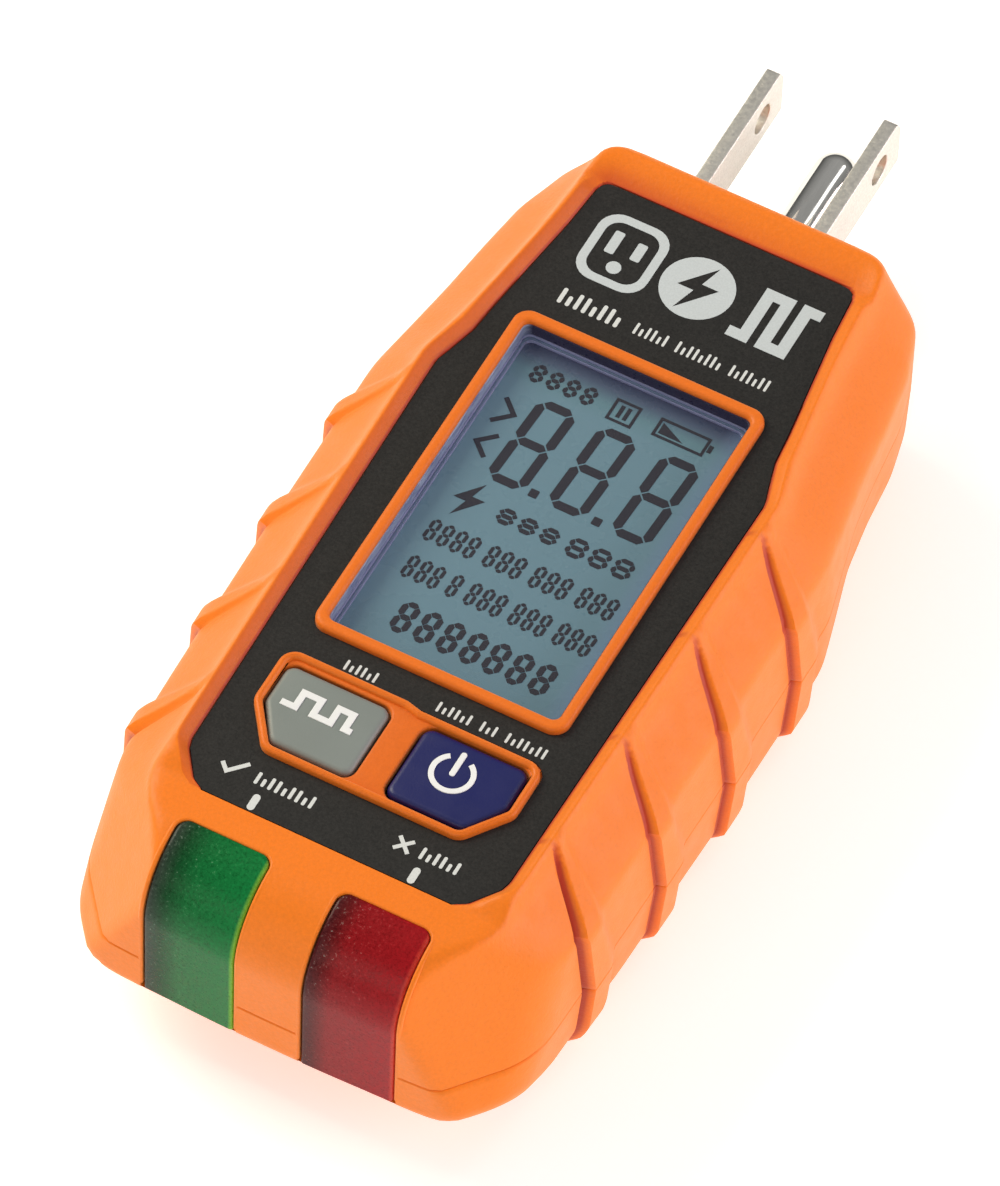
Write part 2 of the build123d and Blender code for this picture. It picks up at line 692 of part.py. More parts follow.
def lamp(side):
    """A round 5 mm indicator lamp with its two wires lying on the board."""
    x = side * LENS_X
    body = rod_y(LAMP_R, x, LAMP_Z, LAMP_TIP_Y + LAMP_R, LAMP_BASE_Y)
    body = body + Pos(x, LAMP_TIP_Y + LAMP_R, LAMP_Z) * Sphere(LAMP_R)
    body = body + rod_y(LAMP_R + LAMP_FLANGE, x, LAMP_Z, LAMP_BASE_Y - LAMP_FLANGE_T, LAMP_BASE_Y)
    for wire_x in (x - WIRE_X, x + WIRE_X):
        body = body + block(
            wire_x - WIRE_HALF_W, wire_x + WIRE_HALF_W, LAMP_BASE_Y, LAMP_BASE_Y + WIRE_LENGTH,
            LAMP_Z - WIRE_HALF_W, LAMP_Z + WIRE_HALF_W,
        )
    return body


def underside_chip():
    """The controller chip under the board."""
    body = block(*CHIP_X, *CHIP_Y, BOARD_LOW_Z - CHIP_T, BOARD_LOW_Z)
    for step in range(CHIP_LEGS):
        y = CHIP_LEG_Y + CHIP_LEG_PITCH * step
        body = body + block(
            CHIP_X[0] - CHIP_LEG_REACH, CHIP_X[1] + CHIP_LEG_REACH, y - CHIP_LEG_HALF_W, y + CHIP_LEG_HALF_W,
            BOARD_LOW_Z - CHIP_LEG_T, BOARD_LOW_Z,
        )
    return body


def load_resistors():
    """The row of resistors that draws the test current to ground."""
    group = []
    for step in range(RESISTORS):
        x = RESISTOR_X + RESISTOR_PITCH * step
        group.append(block(x, x + RESISTOR_W, *RESISTOR_Y, BOARD_LOW_Z - RESISTOR_T, BOARD_LOW_Z))
    return Compound(children=group)


def surge_disc():
    """The surge absorber, a disc lying under the board behind the prongs."""
    return rod_z(DISC_R, *DISC_AT, BOARD_LOW_Z - DISC_T, BOARD_LOW_Z)


def dropper_capacitor():
    """The box-shaped film capacitor under the board."""
    body = block(*CAPACITOR_X, *CAPACITOR_Y, BOARD_LOW_Z - CAPACITOR_T, BOARD_LOW_Z)
    return chamfer(body.edges().filter_by(Axis.Z), CAPACITOR_EDGE)


# ---- wires from the prongs -------------------------------------------------------------------------
def lead(points, bends):
    """An insulated wire along straight runs joined by arcs."""
    path = FilletPolyline(*points, radius=bends)
    start = path @ 0
    ring = Plane(origin=start, z_dir=path % 0) * Circle(LEAD_R)
    return sweep(ring, path)


def blade_lead(x, pad_x):
    """The wire from a blade's tail, down past the board's edge and up to its underside."""
    low = BOARD_LOW_Z - LEAD_DROP
    return lead([
        (x, BLADE_TAIL_Y, BLADE_Z), (x, LEAD_TURN_Y, BLADE_Z), (x, LEAD_TURN_Y, low),
        (pad_x, LEAD_PAD_Y, low), (pad_x, LEAD_PAD_Y, BOARD_LOW_Z),
    ], LEAD_BEND)


def ground_lead():
    """The wire from the round prong up to the board's underside."""
    return lead([
        (0, PIN_TAIL_Y, PIN_Z), (0, GROUND_PAD_Y, PIN_Z), (0, GROUND_PAD_Y, BOARD_LOW_Z),
    ], GROUND_BEND)


# ---- cells and their contacts ----------------------------------------------------------------------
def cell(side):
    """An AAA cell; the two lie head to tail."""
    x = side * CELL_X
    flat_end, nub_end = CELL_Y0, CELL_Y0 + CELL_LENGTH
    if side < 0:
        flat_end, nub_end = nub_end, flat_end
    shoulder = nub_end - side * CELL_NUB
    can = rod_y(CELL_R, x, CELL_Z, min(flat_end, shoulder), max(flat_end, shoulder))
    return can + rod_y(CELL_NUB_R, x, CELL_Z, min(shoulder, nub_end), max(shoulder, nub_end))


def bridge_contact():
    """The plate that joins the two cells at the lamp end of the bay."""
    return block(
        -BRIDGE_HALF_W, BRIDGE_HALF_W, BAY_Y0, BAY_Y0 + CONTACT_T,
        CELL_Z - CONTACT_HALF_H, CELL_Z + CONTACT_HALF_H,
    )


def end_contact(side):
    """The plate behind one cell at the prong end of the bay."""
    x = side * CELL_X
    return block(
        x - END_CONTACT_HALF_W, x + END_CONTACT_HALF_W, BAY_Y1 - CONTACT_T, BAY_Y1,
        CELL_Z - CONTACT_HALF_H, CELL_Z + CONTACT_HALF_H,
    )


def leaf(x, y_plate, y_cell):
    """A bent leaf spring from a contact plate to the end of a cell."""
    toward = 1 if y_cell > y_plate else -1
    foot_z = CELL_Z - LEAF_FOOT
    knee_y = y_plate + toward * LEAF_KNEE[0]
    knee_z = CELL_Z + LEAF_KNEE[1]
    low_z, high_z = CELL_Z + LEAF_TOUCH[0], CELL_Z + LEAF_TOUCH[1]
    outline = [
        (y_plate, foot_z), (y_plate, foot_z + LEAF_T), (y_cell - toward * LEAF_T, high_z),
        (knee_y, knee_z), (knee_y, knee_z + LEAF_T),
        (y_cell, high_z), (y_cell, low_z), (y_plate + toward * LEAF_T, foot_z),
    ]
    face = make_face(Polyline(*[(x, y, z) for y, z in outline], close=True))
    return extrude(face, LEAF_HALF_W, both=True, dir=(1, 0, 0))


def battery_springs():
    """The leaf springs that press on the cells' flat ends."""
    near = leaf(CELL_X, BAY_Y0 + CONTACT_T, CELL_Y0)
    far = leaf(-CELL_X, BAY_Y1 - CONTACT_T, CELL_Y0 + CELL_LENGTH)
    return Compound(children=[near, far])


# ---- fasteners -------------------------------------------------------------------------------------
def screw(x, y, head_z, tip_z):
    """A pan-head screw pointing towards the front, with a cross slot in its head."""
    low = head_z - SCREW_HEAD_T
    body = rod_z(SCREW_R, x, y, head_z, tip_z) + rod_z(SCREW_HEAD_R, x, y, low, head_z)
    for turn in (0, 90):
        body = body - Pos(x, y, low) * Rot(0, 0, turn) * Box(CROSS_LENGTH, CROSS_W, 2 * CROSS_DEPTH)
    return body


def board_screws():
    """The screws that hold the board to the front shell."""
    tip = BOARD_TOP_Z + BOARD_SCREW_REACH
    return Compound(children=[screw(x, y, BOARD_LOW_Z, tip) for x, y in boss_spots(BOARD_SCREWS)])


def case_screws():
    """The screws that close the case from the back."""
    seat = SEAM_Z - HEAD_SEAT
    tip = SEAM_Z + CASE_SCREW_REACH
    return Compound(children=[screw(x, y, seat, tip) for x, y in boss_spots(CASE_SCREWS)])


# ---- write every piece -----------------------------------------------------------------------------
PIECES = {
    "front_shell": front_shell,
    "rear_shell": rear_shell,
    "battery_door": battery_door,
    "overlay_label": overlay_label,
    "display_window": display_window,
    "display_glass": display_glass,
    "display_backlight": display_backlight,
    "display_holder": display_holder,
    "upper_contact_strip": lambda: contact_strip(1),
    "lower_contact_strip": lambda: contact_strip(-1),
    "test_button": lambda: push_button(False),
    "power_button": lambda: push_button(True),
    "test_switch_body": lambda: switch_body(False),
    "power_switch_body": lambda: switch_body(True),
    "test_switch_plunger": lambda: switch_plunger(False),
    "power_switch_plunger": lambda: switch_plunger(True),
    "green_lens": lambda: lens(-1),
    "red_lens": lambda: lens(1),
    "green_lamp": lambda: lamp(-1),
    "red_lamp": lambda: lamp(1),
    "main_board": main_board,
    "controller_chip": underside_chip,
    "load_resistors": load_resistors,
    "surge_disc": surge_disc,
    "dropper_capacitor": dropper_capacitor,
    "neutral_blade": lambda: blade(NEUTRAL),
    "hot_blade": lambda: blade(HOT),
    "ground_pin": ground_pin,
    "prong_carrier": prong_carrier,
    "neutral_lead": lambda: blade_lead(NEUTRAL, NEUTRAL + LEAD_PAD_STEP),
    "hot_lead": lambda: blade_lead(HOT, HOT - LEAD_PAD_STEP),
    "ground_lead": ground_lead,
    "left_cell": lambda: cell(-1),
    "right_cell": lambda: cell(1),
    "bridge_contact": bridge_contact,
    "left_end_contact": lambda: end_contact(-1),
    "right_end_contact": lambda: end_contact(1),
    "battery_springs": battery_springs,
    "board_screws": board_screws,
    "case_screws": case_screws,
}


def main():
    """Build each piece, move it to the finished origin and write it."""
    os.makedirs("parts", exist_ok=True)
    shift = Location((-ORIGIN[0], -ORIGIN[1], -ORIGIN[2]))
    for name, make in PIECES.items():
        piece = make().moved(shift)
        export_step(piece, f"parts/{name}.step")
        print(name, round(piece.volume, 1), piece.bounding_box())


main()
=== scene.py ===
"""Looks for the outlet tester plug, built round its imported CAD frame.

Shapes are made in millimetres in the overlay's own axes: x = 0 is the plane of symmetry, y = 0 the overlay's
edge nearest the prongs and z = 0 its top. place() turns them into metres in the row frame.
"""

from math import atan2, cos, pi, radians, sin, tan

import bmesh
import bpy
import numpy as np
from mathutils import Matrix, Vector


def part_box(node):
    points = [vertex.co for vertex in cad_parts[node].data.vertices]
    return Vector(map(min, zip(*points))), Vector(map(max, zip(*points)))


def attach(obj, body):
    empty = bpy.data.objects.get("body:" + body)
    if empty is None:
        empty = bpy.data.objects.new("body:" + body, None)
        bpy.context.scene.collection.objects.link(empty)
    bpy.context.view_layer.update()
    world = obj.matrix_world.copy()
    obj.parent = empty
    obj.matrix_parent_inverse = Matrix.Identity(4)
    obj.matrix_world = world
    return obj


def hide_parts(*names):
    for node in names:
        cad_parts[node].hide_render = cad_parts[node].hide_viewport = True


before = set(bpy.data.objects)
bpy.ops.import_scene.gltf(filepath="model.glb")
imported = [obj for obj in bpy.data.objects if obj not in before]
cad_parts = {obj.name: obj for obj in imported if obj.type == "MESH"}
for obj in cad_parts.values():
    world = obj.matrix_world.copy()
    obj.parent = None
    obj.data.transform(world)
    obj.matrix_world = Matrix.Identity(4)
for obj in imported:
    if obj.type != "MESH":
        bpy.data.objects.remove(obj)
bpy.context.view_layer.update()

MM = 0.001
overlay_low, overlay_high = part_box("overlay_label")
DATUM = np.array([0.0, overlay_high.y, overlay_high.z]) / MM


def datum_box(node):
    """A CAD node's lowest and highest corners in the overlay's axes, in millimetres."""
    low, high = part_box(node)
    return np.array(low) / MM - DATUM, np.array(high) / MM - DATUM


# ---- the case's driving dimensions, in millimetres ----
RIM_Z = 1.1
SHOULDER_Z = -0.9
CREASE_Z = -5.2
SEAM_Z = -14.0
FOOT_Z = -22.5
BACK_Z = -26.0
PRONG_END_Y = 4.8
LAMP_END_Y = -91.4
LAMP_END_R = 7.8
LAMP_TOP_Z = 0.1
RIM_FADE_Y = (-77.5, -80.4)
BACK_RISE_Y = -79.0
BACK_RISE_Z = 7.3
CREST = 1.0
BACK_BEVEL = 2.6
WALL = 2.0
CORNER_TURN = 39.0
CORNER_LEAN = 21.0
CORNER_UNDERCUT = -50.0
CORNER_POINT = (23.4, -83.6, -14.0)
CORNER_FOOT = (23.4, -83.6, -19.4)
LAMP_CROWN = 0.6
CROWN_HALF_W = 18.0
GROOVE_DEPTH = 0.14
GROOVE_HALF = 0.17

# half-widths at stations along the case: y, rim, crease, seam, foot, and the height of the foot
STATIONS = np.array([
    (4.8, 15.2, 17.2, 17.5, 17.4, -22.5), (3.3, 16.0, 18.8, 18.9, 18.7, -22.5),
    (-3.0, 16.4, 21.0, 20.6, 20.1, -22.5), (-9.0, 16.9, 21.9, 21.2, 20.6, -22.5),
    (-15.0, 17.7, 22.6, 22.0, 21.5, -22.5), (-21.0, 18.6, 23.5, 23.5, 23.2, -22.5),
    (-26.3, 19.9, 24.3, 24.9, 24.6, -22.5), (-47.0, 19.6, 24.1, 24.8, 24.3, -22.5),
    (-66.0, 19.2, 23.7, 24.4, 23.9, -21.8), (-79.0, 18.9, 23.3, 23.9, 23.6, -20.2),
    (-91.4, 18.4, 22.7, 23.3, 23.1, -18.7),
])

# grip ribs: their steep flank faces the lamps and has a narrow groove at its foot
RIB_COUNT = 4
RIB_FIRST_Y = -30.4
RIB_PITCH = 13.35
RIB_LEAN = 3.8
RIB_STEEP = 0.4
RIB_GROOVE_Y = -0.62
RIB_GROOVE_HALF = 0.32
RIB_GROOVE_DEPTH = 0.5
# height level, share of the lean, rib height, crest length, gentle flank
RIB_LEVELS = np.array([
    (-25.0, 0.98, 0.0, 3.0, 2.2), (-22.5, 0.95, 0.95, 3.0, 2.2), (-14.0, 0.85, 0.95, 2.8, 2.6),
    (-5.2, 1.0, 0.95, 2.0, 2.0), (-0.9, 0.0, 0.5, 0.9, 1.3), (0.5, -0.2, 0.3, 0.6, 0.9),
    (1.1, -0.2, 0.0, 0.6, 0.9),
])

# half-width of the overlay's opening along the case
OVERLAY_EDGE = np.array([
    (-84.0, 12.9), (-80.1, 13.0), (-79.4, 14.2), (-76.6, 16.2), (-75.5, 16.5), (-26.3, 17.35),
    (-24.2, 16.7), (-21.5, 15.95), (-18.0, 15.6), (-12.0, 14.8), (-6.0, 14.0), (0.0, 13.5), (6.0, 13.5),
])
OVERLAY_END_Y = -80.1
OVERLAY_CORNER_R = 1.2
OVERLAY_GAP = 0.12
OVERLAY_FLOOR_Z = -0.35

# the rim's inner wall: its foot, its run at the sides and what the prong end adds to it, and its two curves
WALL_FOOT_Z = 0.06
WALL_RUN = 1.3
WALL_RUN_AT_PRONGS = 1.9
SIDE_CURVE = 1.2
PRONG_CURVE = 1.35
PRONG_BLEND_Y = 2.2
PRONG_BLEND = 2.4

# the lamp end's arc, and the rise of the back and the bevel of the prong end
LAMP_ARC_Y = LAMP_END_Y + LAMP_END_R
LAMP_ARC_Z = LAMP_TOP_Z - LAMP_END_R
BACK_RISE_LENGTH = 12.4
BEVEL_ALONG, BEVEL_UP, BEVEL_LENGTH = 3.5, 3.0, 4.61

# how far the edges between the case's faces are rounded
ROUND_RISE = 1.2
ROUND_BACK = 1.4
ROUND_CORNER = 1.9
ROUND_UNDERCUT = 1.4
ROUND_BEVEL = 1.0
ROUND_END = 3.0
ROUND_END_TOP = 1.8
ROUND_RIM = 0.65
END_TOP_Y = -8

# painted shade, deep red, in the creases: a band at each rib's groove, the foot of the rim's inner wall, the
# left inner wall and the slope at the prong end
BAND = (-0.92, -0.12)
BAND_FADE = (0.16, 0.22)
BAND_SIDE_X = 14
FOOT_SHADOW = 0.5
FOOT_SHADOW_FADE = 0.32
LEFT_WALL_SHADOW = 0.4
LEFT_WALL_RUN = 1.45
LEFT_WALL_FADE = 0.2
SLOPE_RUN = 2.9
SLOPE_SHADOW = 0.26
SLOPE_SHADOW_LEFT = 0.5


# ---- the case's surface as a field: below zero inside, above zero outside ----
def smooth_step(t):
    """An even rise from 0 to 1."""
    t = np.clip(t, 0.0, 1.0)
    return t * t * (3 - 2 * t)


def smooth_max(a, b, k):
    """The larger of two fields, with the edge between them rounded over about k."""
    h = np.maximum(k - np.abs(a - b), 0.0) / k
    return np.maximum(a, b) + h * h * k / 4


def blur(table, sigma, axis):
    """A table smoothed along one axis by a bell curve of that many cells."""
    reach = int(3 * sigma) + 1
    weights = np.exp(-0.5 * (np.arange(-reach, reach + 1) / sigma) ** 2)
    weights /= weights.sum()
    padding = [(reach, reach) if a == axis else (0, 0) for a in range(table.ndim)]
    padded = np.pad(table, padding, mode="edge")
    size = table.shape[axis]
    return sum(w * np.take(padded, np.arange(i, i + size), axis=axis) for i, w in enumerate(weights))


TABLE_STEP = 0.25
TABLE_Y = np.arange(-93.0, 6.0, TABLE_STEP)
TABLE_Z = np.arange(-28.0, 3.0, TABLE_STEP)
SOFT_UP = 0.55
SOFT_ALONG = 0.8


def width_table():
    """The plain case's half-width over its length and height, with its creases softened."""
    rows = []
    for rim, crease, seam, foot, foot_z in STATIONS[:, 1:]:
        levels = [BACK_Z, foot_z, SEAM_Z, CREASE_Z, SHOULDER_Z, RIM_Z]
        rows.append(np.interp(TABLE_Z, levels, [foot - BACK_BEVEL, foot, seam, crease, rim, rim - CREST]))
    rows = np.array(rows)[::-1]
    ys = STATIONS[::-1, 0]
    table = np.array([np.interp(TABLE_Y, ys, rows[:, i]) for i in range(len(TABLE_Z))]).T
    return blur(blur(table, SOFT_UP / TABLE_STEP, 1), SOFT_ALONG / TABLE_STEP, 0)


WIDTHS = width_table()


def half_width(y, z):
    """The plain case's half-width at places along and up it."""
    row = np.clip((y - TABLE_Y[0]) / TABLE_STEP, 0, len(TABLE_Y) - 1.001)
    column = np.clip((z - TABLE_Z[0]) / TABLE_STEP, 0, len(TABLE_Z) - 1.001)
    i, j = row.astype(int), column.astype(int)
    s, t = row - i, column - j
    near = WIDTHS[i, j] * (1 - t) + WIDTHS[i, j + 1] * t
    far = WIDTHS[i + 1, j] * (1 - t) + WIDTHS[i + 1, j + 1] * t
    return near * (1 - s) + far * s


def rib_level(z, column):
    """A column of the ribs' table at a height."""
    return np.interp(z, RIB_LEVELS[:, 0], RIB_LEVELS[:, column])


def rib_lean(z):
    """How far towards the lamps a rib has leaned at a height."""
    return RIB_LEAN * rib_level(z, 1)


def opening_half(y):
    """Half-width of the overlay's opening at a place along the case."""
    return np.interp(y, OVERLAY_EDGE[:, 0], OVERLAY_EDGE[:, 1])


def past_ribs(y, z):
    """For each grip rib, how far places lie from its steep flank, towards the prongs."""
    return [y - (RIB_FIRST_Y - RIB_PITCH * index - rib_lean(z)) for index in range(RIB_COUNT)]


def rib_height(y, z):
    """How far the grip ribs stand out of the sides."""
    height, crest, gentle = (rib_level(z, column) for column in (2, 3, 4))
    total = np.zeros_like(y)
    for along in past_ribs(y, z):
        steep = smooth_step(1 + along / RIB_STEEP)
        total = np.maximum(total, height * steep * smooth_step(1 - (along - crest) / gentle))
        groove = np.clip(1 - np.abs(along - RIB_GROOVE_Y) / RIB_GROOVE_HALF, 0, 1)
        total = total - RIB_GROOVE_DEPTH * height * groove
    return total


def overlay_distance(x, y):
    """How far a place on the front lies outside the overlay's opening."""
    beyond = np.maximum(x - opening_half(y), np.maximum(y, OVERLAY_END_Y - y))
    across = x - (OVERLAY_EDGE[-1, 1] - OVERLAY_CORNER_R)
    along = y + OVERLAY_CORNER_R
    corner = np.hypot(across, along) - OVERLAY_CORNER_R
    return np.where((across > 0) & (along > 0), corner, beyond)


def front_height(x, y):
    """Height of the front face: the overlay's floor, the sloping inner wall of the rim, and the rim."""
    outside = overlay_distance(x, y)
    at_prongs = smooth_step((y + PRONG_BLEND_Y) / PRONG_BLEND)
    run = WALL_RUN + WALL_RUN_AT_PRONGS * at_prongs
    fade = smooth_step((RIM_FADE_Y[0] - y) / (RIM_FADE_Y[0] - RIM_FADE_Y[1]))
    crest = RIM_Z + (LAMP_TOP_Z - RIM_Z) * fade
    rise = np.clip((outside - OVERLAY_GAP) / run, 0, 1)
    at_sides = 1 - (1 - rise) ** SIDE_CURVE
    profile = at_sides + (rise ** PRONG_CURVE - at_sides) * at_prongs
    return np.where(outside < OVERLAY_GAP, OVERLAY_FLOOR_Z, WALL_FOOT_Z + (crest - WALL_FOOT_Z) * profile)


def facet(x, y, z, lean, point):
    """Distance beyond a sloping facet at a corner of the lamp end."""
    turn, lean = radians(CORNER_TURN), radians(lean)
    normal = (cos(turn) * cos(lean), -sin(turn) * cos(lean), sin(lean))
    return normal[0] * (x - point[0]) + normal[1] * (y - point[1]) + normal[2] * (z - point[2])


def lamp_arc(x, y, z):
    """The lamp end's quarter-round: its field, and how far places lie beyond its start."""
    beyond_y = LAMP_ARC_Y + LAMP_CROWN * (x / CROWN_HALF_W) ** 2 - y
    beyond_z = z - LAMP_ARC_Z
    arc = np.hypot(np.maximum(beyond_y, 0), np.maximum(beyond_z, 0))
    return arc + np.minimum(np.maximum(beyond_y, beyond_z), 0) - LAMP_END_R, beyond_y


def case_field(p):
    """The case's outside as a field over points in the overlay's axes."""
    x, y, z = np.abs(p[:, 0]), p[:, 1], p[:, 2]
    side = x - half_width(y, z) - rib_height(y, z)
    rise = BACK_Z + (BACK_RISE_Y - y) * BACK_RISE_Z / BACK_RISE_LENGTH
    back = smooth_max(np.full_like(y, BACK_Z), rise, ROUND_RISE) - z
    arc, beyond = lamp_arc(x, y, z)
    front = np.where(beyond < 0, z - front_height(x, y), arc)
    end = y - PRONG_END_Y
    bevel = ((y - PRONG_END_Y) * BEVEL_ALONG + (FOOT_Z - z) * BEVEL_UP) / BEVEL_LENGTH
    front = np.where(y > END_TOP_Y, smooth_max(front, end, ROUND_END_TOP), front)
    field = smooth_max(side, back, ROUND_BACK)
    field = smooth_max(field, facet(x, y, z, CORNER_LEAN, CORNER_POINT), ROUND_CORNER)
    field = smooth_max(field, facet(x, y, z, CORNER_UNDERCUT, CORNER_FOOT), ROUND_UNDERCUT)
    field = smooth_max(field, smooth_max(end, bevel, ROUND_BEVEL), ROUND_END)
    field = smooth_max(field, front, ROUND_RIM)
    groove = np.clip(1 - np.abs(z - SEAM_Z) / GROOVE_HALF, 0, 1)
    return field + GROOVE_DEPTH * groove


def rib_shadow(p):
    """A band of painted shade, deep red, at the grooves of the ribs. On the left side it fades out at the
    crease.
    """
    y, z = p[:, 1], p[:, 2]
    share = np.clip(rib_level(z, 2) / 0.5, 0, 1)
    bands = np.zeros_like(y)
    for along in past_ribs(y, z):
        inner = smooth_step((along - BAND[0]) / BAND_FADE[0])
        bands = np.maximum(bands, inner * smooth_step((BAND[1] - along) / BAND_FADE[1]))
    low_share = np.where(p[:, 0] < 0, smooth_step((CREASE_Z + 1 - z) / 3), 1.0)
    return bands * share * low_share * (np.abs(p[:, 0]) > BAND_SIDE_X)


def rim_shadow(p):
    """Painted shade, deep red, on the rim's inner wall: its foot, its left side and its slope at the prong
    end.
    """
    x, y, z = p[:, 0], p[:, 1], p[:, 2]
    outside = overlay_distance(np.abs(x), y)
    on_front = y > OVERLAY_END_Y
    foot = smooth_step((FOOT_SHADOW - outside) / FOOT_SHADOW_FADE)
    foot = foot * (outside > -0.2) * (z > OVERLAY_FLOOR_Z - 0.1) * on_front
    on_wall = (outside > 0.05) & (z > OVERLAY_FLOOR_Z) & (x < 0) & on_front
    wall = LEFT_WALL_SHADOW * on_wall * smooth_step((LEFT_WALL_RUN - outside) / LEFT_WALL_FADE)
    left = np.clip(0.5 - x / (2 * OVERLAY_EDGE[-1, 1]), 0, 1)
    near_end = smooth_step((y + 1.2) / 1.6) * (z > SHOULDER_Z)
    strength = SLOPE_SHADOW + SLOPE_SHADOW_LEFT * left ** 2
    slope = smooth_step((SLOPE_RUN - outside) / SLOPE_RUN) * near_end * strength
    return np.max([foot, slope, wall], axis=0)


def case_shadow(p):
    """How much painted shade, in deep red, the case gets at each point, for its material."""
    return np.maximum(rib_shadow(p), rim_shadow(p))


# ---- a lattice of rays that finds the surface ----
REACH = 14.0
HALVINGS = 22


def fan(count):
    """How far the ends of the rays round an edge of the inner box spread, from 0 to 45 degrees."""
    return REACH * np.tan(np.arange(1, count + 1) * (pi / 4) / count)


def lines(*stretches):
    """Coordinates made of stretches, each (start, end, step)."""
    parts = []
    for start, end, step in stretches:
        count = max(int(round(abs(end - start) / step)), 1)
        parts.append(np.linspace(start, end, count, endpoint=False))
    return np.concatenate(parts + [[stretches[-1][1]]])


def box_lattice(xs_at, ys, zs, fans, shear):
    """Starts and ends of the rays of a box-like lattice, and its quads.

    xs_at gives the half-lattice across at each y, ys and zs the lattice along and up, and fans the number of
    rays round the edges across, at the prong end, at the lamp end, at the front and at the back.
    """
    across, prong, lamp, top, bottom = fans
    half = xs_at(ys[0])
    nx = 2 * (len(half) - 1 + across) + 1
    y_in = np.concatenate([np.full(prong, ys[0]), ys, np.full(lamp, ys[-1])])
    y_out = np.concatenate([ys[0] + fan(prong)[::-1], ys, ys[-1] - fan(lamp)])
    z_in = np.concatenate([np.full(bottom, zs[0]), zs, np.full(top, zs[-1])])
    z_out = np.concatenate([zs[0] - fan(bottom)[::-1], zs, zs[-1] + fan(top)])
    rows = np.array([xs_at(y) for y in y_in])
    edge = np.repeat(rows[:, -1:], across, axis=1)
    right_in = np.concatenate([rows, edge], axis=1)
    right_out = np.concatenate([rows, edge + fan(across)], axis=1)
    x_in = np.concatenate([-right_in[:, :0:-1], right_in], axis=1)
    x_out = np.concatenate([-right_out[:, :0:-1], right_out], axis=1)
    shape = (nx, len(y_in), len(z_in))
    surface = np.zeros(shape, bool)
    surface[0], surface[-1] = True, True
    surface[:, 0], surface[:, -1] = True, True
    surface[:, :, 0], surface[:, :, -1] = True, True
    i, j, k = np.nonzero(surface)
    numbers = np.full(shape, -1)
    numbers[i, j, k] = np.arange(len(i))
    lean = shear(y_in[j], z_in[k])
    start = np.stack([x_in[j, i], y_in[j] - lean, z_in[k]], 1)
    end = np.stack([x_out[j, i], y_out[j] - lean, z_out[k]], 1)
    quads = []
    for plane, flip in (
        (numbers[0], False), (numbers[-1], True), (numbers[:, 0], True), (numbers[:, -1], False),
        (numbers[:, :, 0], False), (numbers[:, :, -1], True),
    ):
        a, b, c, d = plane[:-1, :-1], plane[1:, :-1], plane[1:, 1:], plane[:-1, 1:]
        ring = (d, c, b, a) if flip else (a, b, c, d)
        quads.append(np.stack([r.ravel() for r in ring], 1))
    return start, end, np.concatenate(quads)


def find_surface(start, end, level):
    """Where each ray from start to end crosses the level of the case's field."""
    low = np.zeros(len(start))
    high = np.ones(len(start))
    for _ in range(HALVINGS):
        middle = (low + high) / 2
        outside = case_field(start + (end - start) * middle[:, None]) > level
        high = np.where(outside, middle, high)
        low = np.where(outside, low, middle)
    return start + (end - start) * ((low + high) / 2)[:, None]


# the room that the inner box keeps to the corner facets, their shares along and across, and the room to the
# overlay's opening
FACET_ROOM = 5.38
FACET_ALONG = 0.5875
FACET_ACROSS = 0.7255
EDGE_ROOM = 1.42

# columns under the overlay and their distance from its opening's edge, columns over the rim's inner wall from
# that edge, and shares of the crest beyond them
FLAT_COLUMNS = 9
FLAT_GAP = 0.6
WALL_COLUMNS = np.array([-0.25, 0.0, 0.11, 0.13, 0.22, 0.36, 0.52, 0.7, 0.88, 1.06, 1.22, 1.38])
CREST_COLUMNS = np.array([0.25, 0.5, 0.75, 1.0])


def inner_edge(y):
    """Half-width of the box that the outer rays start from."""
    rim = np.interp(y, STATIONS[::-1, 0], STATIONS[::-1, 1]) - CREST
    facet_x = CORNER_POINT[0] - (FACET_ROOM - FACET_ALONG * (y - CORNER_POINT[1])) / FACET_ACROSS
    return max(min(rim, facet_x), opening_half(y) + EDGE_ROOM)


def outer_columns(y):
    """Half of the lattice across, with close columns over the rim's inner wall."""
    opening = opening_half(y)
    flat = np.linspace(0, opening - FLAT_GAP, FLAT_COLUMNS)
    wall = opening + WALL_COLUMNS
    crest = wall[-1] + (inner_edge(y) - wall[-1]) * CREST_COLUMNS
    return np.concatenate([flat, wall, crest])


# where the lattice starts and stops to follow the ribs, and over which length
SHEAR_FADE = ((-8.0, 18), (-82.0, 10))


def outer_shear(y, z):
    """How far a row of the lattice is moved to follow the lean of the ribs."""
    (start_y, start_fade), (end_y, end_fade) = SHEAR_FADE
    fade = smooth_step((start_y - y) / start_fade) * smooth_step((y - end_y) / end_fade)
    return np.where(z < SHOULDER_Z + 0.5, rib_lean(np.minimum(z, SHOULDER_Z)), 0) * fade


# ---- meshes, places and pieces ----
WELD = 1e-4
BLOCK_CUTS = 24


def points_of(mesh):
    """A mesh's vertices as an array."""
    flat = np.empty(len(mesh.vertices) * 3)
    mesh.vertices.foreach_get("co", flat)
    return flat.reshape(-1, 3)


def paint_shadow(mesh, values):
    """Stores how much painted shade, in deep red, each vertex gets, for the case's material."""
    layer = mesh.attributes.new("crease", "FLOAT", "POINT")
    layer.data.foreach_set("value", np.asarray(values, dtype=np.float32))


def place(mesh):
    """Moves a mesh from the overlay's axes, in millimetres, into the row frame."""
    mesh.transform(Matrix.Scale(MM, 4) @ Matrix.Translation(Vector(DATUM)))
    return mesh


def new_object(name, mesh):
    """An object in the scene that holds this mesh."""
    item = bpy.data.objects.new(name, mesh)
    bpy.context.scene.collection.objects.link(item)
    return item


